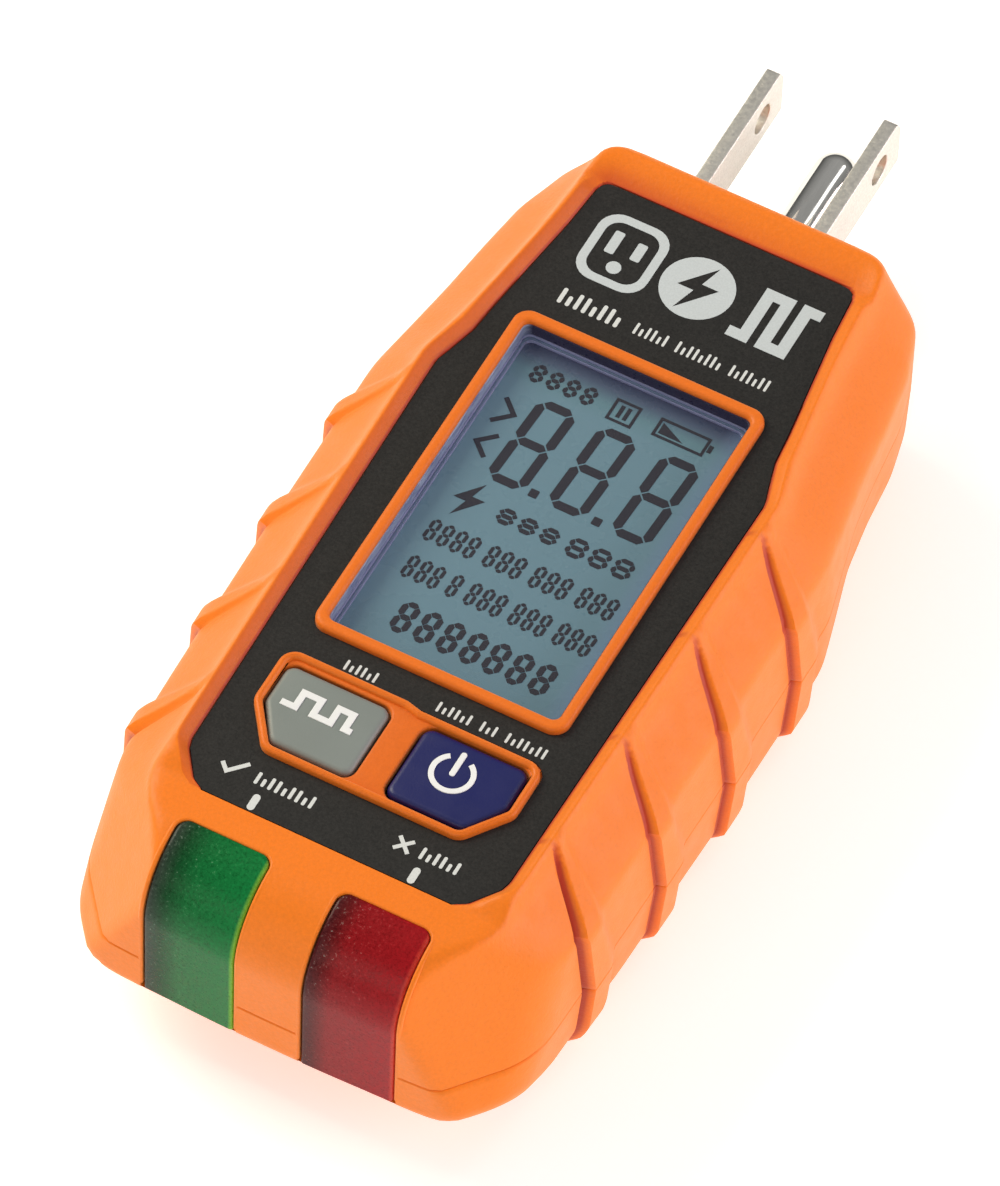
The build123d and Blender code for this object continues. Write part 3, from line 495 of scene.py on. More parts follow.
def mesh_from(name, vertices, faces):
    """A mesh from lists of points and faces."""
    mesh = bpy.data.meshes.new(name)
    mesh.from_pydata([tuple(v) for v in vertices], [], [tuple(f) for f in faces])
    mesh.update()
    return mesh


def soften(mesh, angle=38.0):
    """Smooth shading that keeps edges sharper than an angle."""
    mesh.shade_smooth()
    mesh.set_sharp_from_angle(angle=radians(angle))
    return mesh


def finish_piece(item, body, slot, *nodes):
    """Puts a finished piece on its CAD body and hides the CAD nodes that it stands in for."""
    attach(item, body)
    if nodes:
        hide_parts(*nodes)
    return item


def add_piece(name, mesh, material, body, slot, *nodes, angle=38.0):
    """A mesh in the overlay's axes as a finished piece."""
    place(soften(mesh, angle)).materials.append(material)
    return finish_piece(new_object(name, mesh), body, slot, *nodes)


def rework(mesh, weld=True):
    """Turns a mesh's faces outwards, after welding points that meet."""
    shape = bmesh.new()
    shape.from_mesh(mesh)
    if weld:
        bmesh.ops.remove_doubles(shape, verts=shape.verts, dist=WELD)
    bmesh.ops.recalc_face_normals(shape, faces=shape.faces)
    shape.to_mesh(mesh)
    shape.free()
    return mesh


def cut(target, tool):
    """Takes a tool's solid away from target and removes the tool."""
    modifier = target.modifiers.new("cut", "BOOLEAN")
    modifier.operation = "DIFFERENCE"
    modifier.solver = "MANIFOLD"
    modifier.object = tool
    graph = bpy.context.evaluated_depsgraph_get()
    mesh = bpy.data.meshes.new_from_object(target.evaluated_get(graph))
    target.modifiers.clear()
    old = target.data
    target.data = mesh
    bpy.data.meshes.remove(old)
    bpy.data.objects.remove(tool)
    return target


def block_object(x0, x1, y0, y1, z0, z1):
    """A box as a tool for cutting, in small squares so that no cut face grows too large to fill."""
    mesh = bpy.data.meshes.new("tool")
    shape = bmesh.new()
    bmesh.ops.create_cube(shape, size=1)
    bmesh.ops.subdivide_edges(shape, edges=shape.edges, cuts=BLOCK_CUTS, use_grid_fill=True)
    for v in shape.verts:
        v.co = [low + (c + 0.5) * (high - low) for c, low, high in zip(v.co, (x0, y0, z0), (x1, y1, z1))]
    shape.to_mesh(mesh)
    shape.free()
    return new_object("tool", mesh)


def round_corners(points, radius, steps=6):
    """A closed outline with each corner turned into an arc. radius is one number, or one for each corner."""
    points = [Vector(p) for p in points]
    radii = radius if hasattr(radius, "__len__") else [radius] * len(points)
    result = []
    for i, corner in enumerate(points):
        before = (points[i - 1] - corner).normalized()
        after = (points[(i + 1) % len(points)] - corner).normalized()
        half = before.angle(after) / 2
        if radii[i] <= 0 or half > radians(89):
            result.append(tuple(corner))
            continue
        centre = corner + (before + after).normalized() * (radii[i] / sin(half))
        first = corner + before * (radii[i] / tan(half)) - centre
        last = corner + after * (radii[i] / tan(half)) - centre
        begin = atan2(first.y, first.x)
        sweep = (atan2(last.y, last.x) - begin + pi) % (2 * pi) - pi
        for n in range(steps + 1):
            angle = begin + sweep * n / steps
            result.append((centre.x + radii[i] * cos(angle), centre.y + radii[i] * sin(angle)))
    return result


def rectangle(x0, x1, y0, y1, radius=0.0, steps=6):
    """A rectangle's outline, with round corners."""
    return round_corners([(x0, y0), (x1, y0), (x1, y1), (x0, y1)], radius, steps)


def circle(x, y, radius, count=32):
    """A circle's outline."""
    angles = [2 * pi * n / count for n in range(count)]
    return [(x + radius * cos(a), y + radius * sin(a)) for a in angles]


def mirror_x(outline):
    """The outline's mirror image."""
    return [(-x, y) for x, y in reversed(outline)]


def curve_mesh(name, lines_of_points, closed, **settings):
    """The mesh of a curve with straight stretches; settings are the curve's own."""
    curve = bpy.data.curves.new(name, "CURVE")
    for setting, value in settings.items():
        setattr(curve, setting, value)
    for points in lines_of_points:
        spline = curve.splines.new("POLY")
        spline.points.add(len(points) - 1)
        for point, (x, y, z) in zip(spline.points, points):
            point.co = (x, y, z, 1)
        spline.use_cyclic_u = closed
    holder = bpy.data.objects.new(name, curve)
    mesh = bpy.data.meshes.new_from_object(holder)
    bpy.data.objects.remove(holder)
    bpy.data.curves.remove(curve)
    return mesh


def plate_mesh(name, outlines, z0, z1, bevel=0.0, rounds=3):
    """A flat plate with rounded edges; an outline inside another is a hole."""
    flat = [[(x, y, 0) for x, y in outline] for outline in outlines]
    mesh = curve_mesh(
        name, flat, True, dimensions="2D", fill_mode="BOTH", extrude=(z1 - z0) / 2 - bevel, bevel_depth=bevel,
        bevel_resolution=rounds, offset=-bevel,
    )
    mesh.transform(Matrix.Translation((0, 0, (z0 + z1) / 2)))
    rework(mesh).name = name
    return mesh


def join(name, meshes):
    """One mesh made of several."""
    shape = bmesh.new()
    for mesh in meshes:
        shape.from_mesh(mesh)
        bpy.data.meshes.remove(mesh)
    mesh = bpy.data.meshes.new(name)
    shape.to_mesh(mesh)
    shape.free()
    return mesh


# ---- materials ----
def srgb(red, green, blue):
    """A linear colour from 8-bit screen values."""
    def linear(c):
        return c / 255 / 12.92 if c <= 10 else ((c / 255 + 0.055) / 1.055) ** 2.4
    return linear(red), linear(green), linear(blue), 1


class Paint:
    """A Principled material with helpers that add the nodes behind its sockets."""

    def __init__(self, name, colour, roughness, **values):
        self.material = bpy.data.materials.new(name)
        self.material.use_nodes = True
        self.tree = self.material.node_tree
        self.shader = self.tree.nodes["Principled BSDF"]
        self.set(**{"Base Color": colour, "Roughness": roughness})
        self.set(**values)
        self.place = self.add("ShaderNodeTexCoord").outputs["Object"]

    def set(self, **values):
        """Uniform values, directly on the shader's sockets."""
        for socket, value in values.items():
            self.shader.inputs[socket.replace("_", " ")].default_value = value

    def add(self, kind, **settings):
        """A new node with its settings."""
        node = self.tree.nodes.new(kind)
        for name, value in settings.items():
            setattr(node, name, value)
        return node

    def link(self, source, target):
        """A link from one socket to another."""
        self.tree.links.new(source, target)

    def noise(self, per_mm, detail=3.0, roughness=0.55, stretch=(1, 1, 1)):
        """Noise with about that many features to the millimetre."""
        mapping = self.add("ShaderNodeMapping")
        mapping.inputs["Scale"].default_value = [s * per_mm * 1000 for s in stretch]
        self.link(self.place, mapping.inputs["Vector"])
        node = self.add("ShaderNodeTexNoise")
        node.inputs["Scale"].default_value = 1.0
        node.inputs["Detail"].default_value = detail
        node.inputs["Roughness"].default_value = roughness
        self.link(mapping.outputs["Vector"], node.inputs["Vector"])
        return node.outputs["Fac"]

    def ramp(self, source, *stops):
        """A colour ramp over source; each stop is (place, value or colour)."""
        node = self.add("ShaderNodeValToRGB")
        elements = node.color_ramp.elements
        while len(elements) < len(stops):
            elements.new(0.5)
        for element, (at, value) in zip(elements, stops):
            element.position = at
            element.color = value if hasattr(value, "__len__") else (value, value, value, 1)
        self.link(source, node.inputs["Fac"])
        return node.outputs["Color"]

    def mix(self, factor, a, b, blend="MIX"):
        """Two colours mixed by factor; b may be a plain colour."""
        node = self.add("ShaderNodeMix", data_type="RGBA", blend_type=blend)
        for socket, value in (("Factor", factor), ("A", a), ("B", b)):
            if isinstance(value, bpy.types.NodeSocket):
                self.link(value, node.inputs[socket])
            else:
                node.inputs[socket].default_value = value
        return node.outputs["Result"]

    def base(self, source):
        """Base colour from source."""
        self.link(source, self.shader.inputs["Base Color"])

    def tint(self, source, low, high):
        """Base colour that drifts between two colours with source."""
        self.base(self.ramp(source, (0.3, low), (0.7, high)))

    def gloss(self, source, low, high):
        """Roughness that drifts between two values with source."""
        self.link(self.ramp(source, (0.3, low), (0.7, high)), self.shader.inputs["Roughness"])

    def bump(self, *layers):
        """Surface relief from layers of (source, height in millimetres)."""
        normal = None
        for source, height in layers:
            node = self.add("ShaderNodeBump")
            node.inputs["Strength"].default_value = 1.0
            node.inputs["Distance"].default_value = height * MM
            self.link(source, node.inputs["Height"])
            if normal:
                self.link(normal, node.inputs["Normal"])
            normal = node.outputs["Normal"]
        self.link(normal, self.shader.inputs["Normal"])

    def height_mask(self, axis, low, high):
        """0 to 1 between two places along an axis of the overlay, in millimetres."""
        separate = self.add("ShaderNodeSeparateXYZ")
        self.link(self.place, separate.inputs["Vector"])
        spread = self.add("ShaderNodeMapRange")
        index = "XYZ".index(axis)
        spread.inputs["From Min"].default_value = (low + DATUM[index]) * MM
        spread.inputs["From Max"].default_value = (high + DATUM[index]) * MM
        self.link(separate.outputs[axis], spread.inputs["Value"])
        return spread.outputs["Result"]


def shade(colour, factor):
    """A colour made lighter or darker."""
    return tuple(min(c * factor, 1.0) for c in colour[:3]) + (1,)


def moulded(name, colour, roughness, grain=0.012, per_mm=4.0, drift=0.06, **values):
    """Moulded plastic: a fine eroded grain, slow colour drift and uneven gloss."""
    paint = Paint(name, colour, roughness, **values)
    slow = paint.noise(0.09, 2.0)
    fine = paint.noise(per_mm, 4.0, 0.6)
    paint.tint(slow, shade(colour, 1 - drift), shade(colour, 1 + drift))
    paint.gloss(paint.noise(0.5, 3.0), roughness - 0.05, roughness + 0.06)
    paint.bump((fine, grain), (paint.noise(per_mm * 2.6, 2.0), grain * 0.5))
    return paint.material


def case_plastic():
    """Orange plastic, fine-grained, with painted shade in deep red in its creases."""
    colour = srgb(242, 122, 1)
    paint = Paint("case_plastic", colour, 0.46, **{
        "Specular IOR Level": 0.35, "Sheen Weight": 0.38, "Sheen Roughness": 0.5,
        "Sheen Tint": srgb(255, 210, 164),
    })
    base = paint.ramp(paint.noise(2.8, 4.0, 0.7), (0.32, shade(colour, 0.94)), (0.68, shade(colour, 1.05)))
    # painted shade: the crease attribute mixes in a deep red where shade falls
    crease = paint.add("ShaderNodeAttribute", attribute_name="crease")
    depth = paint.ramp(crease.outputs["Fac"], (0.0, 0.0), (1.0, 0.9))
    paint.base(paint.mix(depth, base, srgb(172, 22, 8)))
    paint.gloss(paint.noise(0.5, 3.0), 0.42, 0.52)
    paint.bump((paint.noise(2.6, 4.0, 0.6), 0.045), (paint.noise(8.0, 2.0), 0.012))
    return paint.material


def overlay_film():
    """The overlay's matt black film with pale specks."""
    paint = Paint("overlay_film", srgb(24, 23, 22), 0.55, **{"Specular IOR Level": 0.3})
    speck = paint.noise(3.6, 5.0, 0.8)
    paint.tint(speck, srgb(12, 12, 12), srgb(44, 43, 42))
    paint.gloss(paint.noise(0.4), 0.48, 0.58)
    paint.bump((speck, 0.008))
    return paint.material


def print_ink(name, colour):
    """Screen-printed ink, a little uneven."""
    paint = Paint(name, colour, 0.5)
    paint.tint(paint.noise(6.0, 3.0), shade(colour, 0.93), shade(colour, 1.04))
    paint.bump((paint.noise(7.0), 0.004))
    return paint.material


def clear_lens():
    """The display window's thin, nearly clear plastic."""
    paint = Paint("clear_window", srgb(60, 60, 92), 0.05, Alpha=0.08)
    paint.gloss(paint.noise(0.15), 0.04, 0.08)
    return paint.material


def crystal():
    """The display's face: cool grey, with a painted shadow in purple under its top edge and a painted
    reflection in paler blue at its right edge.
    """
    paint = Paint("display_face", srgb(112, 142, 156), 0.28)
    high = datum_box("display_window")[1]
    # painted shadow of the frame: the face darkens to purple towards its top edge
    down = paint.height_mask("Y", high[1] - 5.5, high[1])
    cool = paint.ramp(
        down, (0.0, srgb(116, 152, 168)), (0.35, srgb(108, 146, 158)), (0.68, srgb(84, 100, 124)),
        (1.0, srgb(44, 42, 72)),
    )
    # painted reflection: a paler blue towards the right edge
    side = paint.height_mask("X", high[0] - 2.4, high[0] - 0.4)
    paint.base(paint.mix(paint.ramp(side, (0.0, 0.0), (1.0, 0.6)), cool, srgb(132, 156, 192)))
    paint.gloss(paint.noise(0.3), 0.24, 0.32)
    paint.bump((paint.noise(9.0, 2.0), 0.002))
    return paint.material


def sleeve_plastic():
    """The display frame's inner wall: dark, and a painted reflection in pale blue streaks at its left side.
    """
    dark = srgb(44, 40, 66)
    paint = Paint("frame_sleeve", dark, 0.3)
    left = datum_box("display_window")[0][0]
    across = paint.height_mask("X", left - 0.1, left + 0.8)
    # painted reflection: pale blue streaks that give way to the dark wall away from the left side
    streak = paint.noise(2.2, 3.0, 0.6, (1, 0.15, 1))
    reflection_streaks = paint.ramp(streak, (0.35, srgb(128, 142, 186)), (0.65, srgb(188, 206, 234)))
    paint.base(paint.mix(across, reflection_streaks, dark))
    paint.gloss(streak, 0.26, 0.36)
    paint.bump((paint.noise(4.0), 0.004))
    return paint.material


def metal(name, colour, roughness, per_mm=3.0, depth=0.02, stretch=(1, 1, 1)):
    """Plated metal with a tumbled or drawn surface."""
    paint = Paint(name, colour, roughness, Metallic=1.0)
    grain = paint.noise(per_mm, 4.0, 0.6, stretch)
    paint.tint(grain, shade(colour, 0.86), shade(colour, 1.05))
    paint.gloss(paint.noise(per_mm * 0.7, 3.0), max(roughness - 0.08, 0.02), roughness + 0.1)
    paint.bump((grain, depth))
    return paint.material


def lamp_lens(name, dark, main, lit, x_dark, x_lit, reach):
    """A translucent lens, frosted inside, with painted shade over a share of its width at one side, painted
    light at the other, a painted highlight along that edge and whitish painted glints in the shaded part.
    """
    paint = Paint(name, main, 0.3, **{"Specular IOR Level": 0.2})
    across = paint.height_mask("X", x_dark, x_lit)
    # painted shade at the dark side, painted light across the rest and a painted highlight at the lit edge
    colour = paint.ramp(
        across, (0.0, dark), (0.43 * reach, shade(main, 0.4)), (reach, main), (0.95, shade(main, 1.25)),
        (1.0, lit),
    )
    speck = paint.noise(3.2, 5.0, 0.8)
    mottled = paint.mix(0.7, colour, paint.ramp(speck, (0.35, 0.2), (0.68, 0.8)), "SOFT_LIGHT")
    # painted glints: whitish specks, strongest in the shaded part
    painted_glints = paint.add("ShaderNodeMath", operation="MULTIPLY")
    paint.link(paint.ramp(speck, (0.6, 0.0), (0.7, 0.6)), painted_glints.inputs[0])
    paint.link(paint.ramp(across, (0.1, 1.0), (0.75, 0.0)), painted_glints.inputs[1])
    paint.base(paint.mix(painted_glints.outputs["Value"], mottled, srgb(176, 190, 180)))
    paint.gloss(speck, 0.2, 0.45)
    paint.bump((paint.noise(2.6, 4.0, 0.7), 0.03))
    return paint.material


# ---- the camera and the light ----
# azimuth, elevation and roll in degrees, the point looked at in the overlay's axes, metres from it, and the
# focal length in millimetres
CAMERA_TURN = (26.08, 54.74, 2.47)
CAMERA_TARGET = (0.49, -47.30, 0.0)
CAMERA_DISTANCE = 1.0696
CAMERA_LENS = 349.0


def camera():
    """A long lens, from above the lamp end and a little to the right."""
    azimuth, elevation, roll = (radians(a) for a in CAMERA_TURN)
    target = (Vector(CAMERA_TARGET) + Vector(DATUM)) * MM
    back = Vector((sin(azimuth) * cos(elevation), -cos(azimuth) * cos(elevation), sin(elevation)))
    right = (-back).cross(Vector((0, 0, 1))).normalized()
    up = right.cross(-back)
    turned_right = right * cos(roll) + up * sin(roll)
    turned_up = up * cos(roll) - right * sin(roll)
    lens = bpy.data.cameras.new("camera")
    lens.lens = CAMERA_LENS
    lens.sensor_width = 36.0
    lens.clip_end = 20.0
    item = bpy.data.objects.new("camera", lens)
    turn = Matrix((turned_right, turned_up, back)).transposed().to_4x4()
    item.matrix_world = Matrix.Translation(target + back * CAMERA_DISTANCE) @ turn
    bpy.context.scene.collection.objects.link(item)
    bpy.context.scene.camera = item


def area_light(name, place_at, size, power, colour):
    """A soft rectangular light turned towards the tester."""
    light = bpy.data.lights.new(name, "AREA")
    light.shape = "RECTANGLE"
    light.size, light.size_y = size
    light.energy = power
    light.color = colour
    item = bpy.data.objects.new(name, light)
    turn = (Vector(LIGHT_AIM) - Vector(place_at)).to_track_quat("-Z", "Y").to_matrix().to_4x4()
    item.matrix_world = Matrix.Translation(place_at) @ turn
    bpy.context.scene.collection.objects.link(item)


# how high in the sky its light starts and stops to rise, and its strength there
SKY = (("From Min", 0.1), ("From Max", 0.7), ("To Min", 0.12), ("To Max", 0.4))

# name, place, size, power and colour of each light
LIGHTS = (
    ("key", (-0.52, 0.06, 0.42), (0.3, 0.4), 3.6, (1.0, 0.94, 0.76)),
    ("side", (0.53, 0.16, 0.17), (0.5, 0.3), 2.3, (1.0, 0.84, 0.86)),
    ("front", (0.05, -0.62, 0.30), (0.5, 0.3), 1.1, (1.0, 0.96, 0.86)),
    ("strip", (0.24, 0.41, 0.65), (0.13, 0.5), 0.34, (1, 1, 1)),
)
LIGHT_AIM = (0, -0.01, 0.02)


def soft_sky():
    """A white surround that is brighter overhead than near the ground."""
    world = bpy.data.worlds.new("studio")
    world.use_nodes = True
    tree = world.node_tree
    background = tree.nodes["Background"]
    background.inputs["Color"].default_value = (1, 1, 1, 1)
    separate = tree.nodes.new("ShaderNodeSeparateXYZ")
    spread = tree.nodes.new("ShaderNodeMapRange")
    for socket, value in SKY:
        spread.inputs[socket].default_value = value
    tree.links.new(tree.nodes.new("ShaderNodeTexCoord").outputs["Generated"], separate.inputs["Vector"])
    tree.links.new(separate.outputs["Z"], spread.inputs["Value"])
    tree.links.new(spread.outputs["Result"], background.inputs["Strength"])
    bpy.context.scene.world = world


FLOOR_HALF = 3
FLOOR_GAP = 0.0002
FLOOR_GLOW = 0.42


def studio():
    """Plain soft light over a pale floor."""
    soft_sky()
    for light in LIGHTS:
        area_light(*light)
    bpy.context.scene.view_settings.view_transform = "Standard"
    corners = [(a * FLOOR_HALF, b * FLOOR_HALF, 0) for a, b in ((-1, -1), (1, -1), (1, 1), (-1, 1))]
    floor = new_object("floor", mesh_from("floor", corners, [(0, 1, 2, 3)]))
    floor.location.z = -FLOOR_GAP
    paint = Paint("pale_floor", (0.93, 0.93, 0.93, 1), 0.8, **{
        "Emission Color": (1, 1, 1, 1), "Emission Strength": FLOOR_GLOW,
    })
    paint.tint(paint.noise(0.004), (0.91, 0.91, 0.91, 1), (0.94, 0.94, 0.94, 1))
    floor.data.materials.append(paint.material)


# ---- the case ----
LENS_X = 8.35
LENS_W = 9.6
LENS_TOP_Y = -83.7
LENS_R = 1.2
LENS_FOOT_Z = -18.5
LENS_SLOT_END_Y = -100
LENS_SLOT_TOP_Z = 6.0
LENS_SLOT_GAP = 0.3
SEAM_GAP = 0.05

# the solid tools that cut right through the case
FAR = 60
FAR_Y = (-120, 40)
OPENING_Z = (-4, 4)

# the battery bay, the cover's slot and the screw wells
BAY_HALF = 12.0
BAY_Y = (-77.6, -27.6)
BAY_ROOF_Z = -12.7
BAY_WALL = 1.4
DOOR_TONGUE = 1.0
DOOR_GAP = 0.1
DOOR_STEP = 0.75
WELLS = ((15.0, -9.6), (-15.0, -9.6), (18.6, -80.3), (-18.6, -80.3))
POST_R = 2.5
WELL_R = 2.05
WELL_DEPTH = 4.0

# the lattice's rows at both ends of the case as (start, end, step), the steps between them, the rows over a
# rib from the top of its steep flank, and the rays round the lattice's edges
PLAIN_ROWS = ((3.3, 0.3, 0.4), (0.3, -1.5, 0.22), (-1.5, -26.0, 0.5), (-77.0, -82.5, 0.25))
ROW_STEP = 0.45
RIB_ROWS = (-1.25, -0.94, -0.78, -0.62, -0.46, -0.4, -0.3, -0.2, -0.1, 0.0, 0.2, 0.55, 0.9)
OUTER_FANS = (7, 7, 12, 7, 7)
INNER_FANS = (6, 6, 6, 6, 6)
# the hollow's lattice: its rows along and up, its columns, their reach and the room to the outer box
INNER_Y = (-2.5, -78.0, 1.5)
INNER_Z = (-19.5, -6.0, 1.0)
INNER_COLUMNS = 9
INNER_HALF = 11.5
INNER_ROOM = 4.0


def outer_rows():
    """The lattice's rows along the case, close together over the ribs' steps."""
    plain = lines(*PLAIN_ROWS)
    between = lines((-26.5, -76.5, ROW_STEP))
    ribs = []
    for index in range(RIB_COUNT):
        first = RIB_FIRST_Y - RIB_PITCH * index
        between = between[(between < first - 1.5) | (between > first + 1.1)]
        ribs += [first + offset for offset in RIB_ROWS]
    edges = [0.10, 0.13, OVERLAY_END_Y - 0.11, OVERLAY_END_Y - 0.13]
    return np.unique(np.round(np.concatenate([plain, between, ribs, edges]), 4))[::-1]


def outer_form():
    """The whole outside of the case as one closed solid."""
    ys = outer_rows()
    groove = SEAM_Z + np.array([-GROOVE_HALF, -0.08, -SEAM_GAP / 2, SEAM_GAP / 2, 0.08, GROOVE_HALF])
    zs = np.concatenate([lines((-21.0, -14.7, 0.6)), groove, lines((-13.3, -1.2, 0.5))])
    start, end, quads = box_lattice(outer_columns, ys, zs, OUTER_FANS, outer_shear)
    points = find_surface(start, end, 0.0)
    return new_object("outer_form", mesh_from("outer_form", points, quads))


def inner_form():
    """The hollow of the case as one closed solid."""
    def columns(y):
        return np.linspace(0, min(inner_edge(y) - INNER_ROOM, INNER_HALF), INNER_COLUMNS)

    start, end, quads = box_lattice(columns, lines(INNER_Y), lines(INNER_Z), INNER_FANS, lambda y, z: 0 * y)
    points = find_surface(start, end, -WALL)
    return new_object("inner_form", mesh_from("inner_form", points, quads))


def plate_tool(outlines, z0, z1):
    """A tool for cutting that has a plate for each outline."""
    return new_object("tool", join("tool", [plate_mesh("tool", [outline], z0, z1) for outline in outlines]))


def lens_slots():
    """The slots that the indicator lenses fill, as a tool."""
    half = LENS_W / 2
    x0, x1 = LENS_X - half - LENS_SLOT_GAP, LENS_X + half + LENS_SLOT_GAP
    y1 = LENS_TOP_Y + LENS_SLOT_GAP
    corners = [(x0, LENS_SLOT_END_Y), (x1, LENS_SLOT_END_Y), (x1, y1), (x0, y1)]
    outline = round_corners(corners, [0, 0, LENS_R, LENS_R])
    return plate_tool([outline, mirror_x(outline)], LENS_FOOT_Z - LENS_SLOT_GAP, LENS_SLOT_TOP_Z)


WINDOW = datum_box("display_window")
SCREEN_Y = (WINDOW[0][1] + WINDOW[1][1]) / 2
BEZEL_HALF = (13.3, 21.0)
BEZEL_R = 1.7
BEZEL_TOP_Z = 0.8
BUTTON_OUTLINE = [(-12.7, -64.0), (-12.7, -68.7), (-10.2, -72.6), (-1.8, -72.6), (-1.8, -64.0)]
BUTTON_R = 1.1
BUTTON_GAP = 0.25
SURROUND_TOP_Z = 0.8
SURROUND_OUTLINE = [
    (-13.7, -62.5), (-13.7, -69.1), (-10.3, -73.8), (10.3, -73.8), (13.7, -69.1), (13.7, -62.9),
    (0.6, -62.9), (-1.0, -62.5),
]
SURROUND_RADII = [1.7, 1.7, 1.7, 1.7, 1.7, 1.7, 0.5, 0.5]
STRIP_W = 0.8
POCKET_LEAST_R = 0.35
WEB_OUTLINE = [(-13.2, -63.1), (-13.2, -69.0), (-10.1, -73.4), (10.1, -73.4), (13.2, -69.0), (13.2, -63.1)]
WEB_TOP_Z = 0.3
FRAME_FOOT_Z = -1.9
# painted shade, deep red, laid all over the button web and over the raised rings
WEB_SHADOW = 0.34
RING_SHADOW = 0.2


def grown(outline, distance):
    """An outline moved outwards by a distance along its corners' bisectors."""
    points = [Vector(p) for p in outline]
    area = sum(a.x * b.y - b.x * a.y for a, b in zip(points, points[1:] + points[:1]))
    turn = 1 if area > 0 else -1
    result = []
    for i, point in enumerate(points):
        before = (point - points[i - 1]).normalized()
        after = (points[(i + 1) % len(points)] - point).normalized()
        n0 = Vector((before.y, -before.x)) * turn
        n1 = Vector((after.y, -after.x)) * turn
        bisector = (n0 + n1).normalized()
        result.append(tuple(point + bisector * (distance / bisector.dot(n0))))
    return result


def window_outline(grow=0.0, radius=0.8):
    """The display opening, or a ring round it."""
    half_w = (WINDOW[1][0] - WINDOW[0][0]) / 2 + grow
    half_h = (WINDOW[1][1] - WINDOW[0][1]) / 2 + grow
    return rectangle(-half_w, half_w, SCREEN_Y - half_h, SCREEN_Y + half_h, radius + max(grow, 0), 8)


def button_outline(right, grow=0.0):
    """One button's outline."""
    outline = round_corners(grown(BUTTON_OUTLINE, grow), BUTTON_R + grow)
    return mirror_x(outline) if right else outline


def button_holes():
    """The outlines of the holes that the buttons move in."""
    return [button_outline(right, BUTTON_GAP) for right in (False, True)]


def slab(z0, z1):
    """Everything between two heights, as a tool."""
    return block_object(-FAR, FAR, *FAR_Y, z0, z1)


def bay_block(wall):
    """The battery bay grown by a wall, as a tool."""
    half = BAY_HALF + wall
    return block_object(-half, half, BAY_Y[0] - wall, BAY_Y[1] + wall, -FAR, BAY_ROOF_Z + wall)


def door_slots():
    """The battery cover's opening and the wider slot for its tongues, as tools."""
    x, y, z = datum_box("battery_door")[1]
    half = x - DOOR_TONGUE + DOOR_GAP
    wide = half + DOOR_TONGUE
    step_z = z - DOOR_STEP
    yield block_object(-half, half, FAR_Y[0], y - DOOR_TONGUE + DOOR_GAP, -FAR, step_z)
    yield block_object(-wide, wide, FAR_Y[0], y + DOOR_GAP, step_z - 0.01, z + 0.05)


def front_half(outer, inner):
    """The front half of the case, open where the display, the buttons and the lenses are."""
    front = new_object("front_shell_skin", outer.data.copy())
    cut(front, new_object("tool", inner.data.copy()))
    cut(front, slab(-FAR, SEAM_Z))
    cut(front, plate_tool([window_outline(0.05)] + button_holes(), *OPENING_Z))
    return cut(front, lens_slots())


def rear_half(outer, inner):
    """The rear half of the case, open where the cells, their cover, the screws and the lenses are."""
    rear = new_object("rear_shell_skin", outer.data.copy())
    cavity = new_object("tool", inner.data.copy())
    cut(cavity, bay_block(BAY_WALL))
    for x, y in WELLS:
        cut(cavity, plate_tool([circle(x, y, POST_R)], -FAR, SEAM_Z + 1))
    cut(rear, cavity)
    cut(rear, slab(SEAM_Z - SEAM_GAP, FAR))
    cut(rear, bay_block(0))
    for slot in door_slots():
        cut(rear, slot)
    cut(rear, plate_tool([circle(x, y, WELL_R) for x, y in WELLS], -FAR, SEAM_Z - WELL_DEPTH))
    return cut(rear, lens_slots())


def shells(plastic):
    """The two halves of the case."""
    outer, inner = outer_form(), inner_form()
    front, rear = front_half(outer, inner), rear_half(outer, inner)
    for item in (outer, inner):
        bpy.data.objects.remove(item)
    for item, node in ((front, "front_shell"), (rear, "rear_shell")):
        paint_shadow(item.data, case_shadow(points_of(item.data)))
        place(soften(item.data, 34)).materials.clear()
        item.data.materials.append(plastic)
        finish_piece(item, "case", "case_plastic", node)


# ---- the front face's frames ----
def add_plate(name, outlines, z0, z1, bevel, material, body, slot):
    """A plate as a finished piece."""
    return add_piece(name, plate_mesh(name, outlines, z0, z1, bevel), material, body, slot)


def frames(plastic):
    """The raised rings round the display and round the buttons, moulded with the front shell."""
    half_w, half_h = BEZEL_HALF
    ring = rectangle(-half_w, half_w, SCREEN_Y - half_h, SCREEN_Y + half_h, BEZEL_R, 10)
    outline = round_corners(SURROUND_OUTLINE, SURROUND_RADII, 8)
    pocket_radii = [max(r - STRIP_W, POCKET_LEAST_R) for r in SURROUND_RADII]
    pocket = round_corners(grown(SURROUND_OUTLINE, -STRIP_W), pocket_radii)
    for name, outlines, top, bevel, least_shade in (
        ("display_bezel", [ring, window_outline()], BEZEL_TOP_Z, 0.5, RING_SHADOW),
        ("button_surround", [outline, pocket], SURROUND_TOP_Z, 0.46, RING_SHADOW),
        ("button_web", [WEB_OUTLINE] + button_holes(), WEB_TOP_Z, 0.3, WEB_SHADOW),
    ):
        mesh = plate_mesh(name, outlines, FRAME_FOOT_Z, top, bevel, 6)
        # painted shade, deep red, towards the foot of each ring and of the web, and a share of it all over
        deep = smooth_step((top - 0.38 - points_of(mesh)[:, 2]) / 0.3)
        paint_shadow(mesh, np.maximum(deep, least_shade))
        add_piece(name, mesh, plastic, "case", "case_plastic")


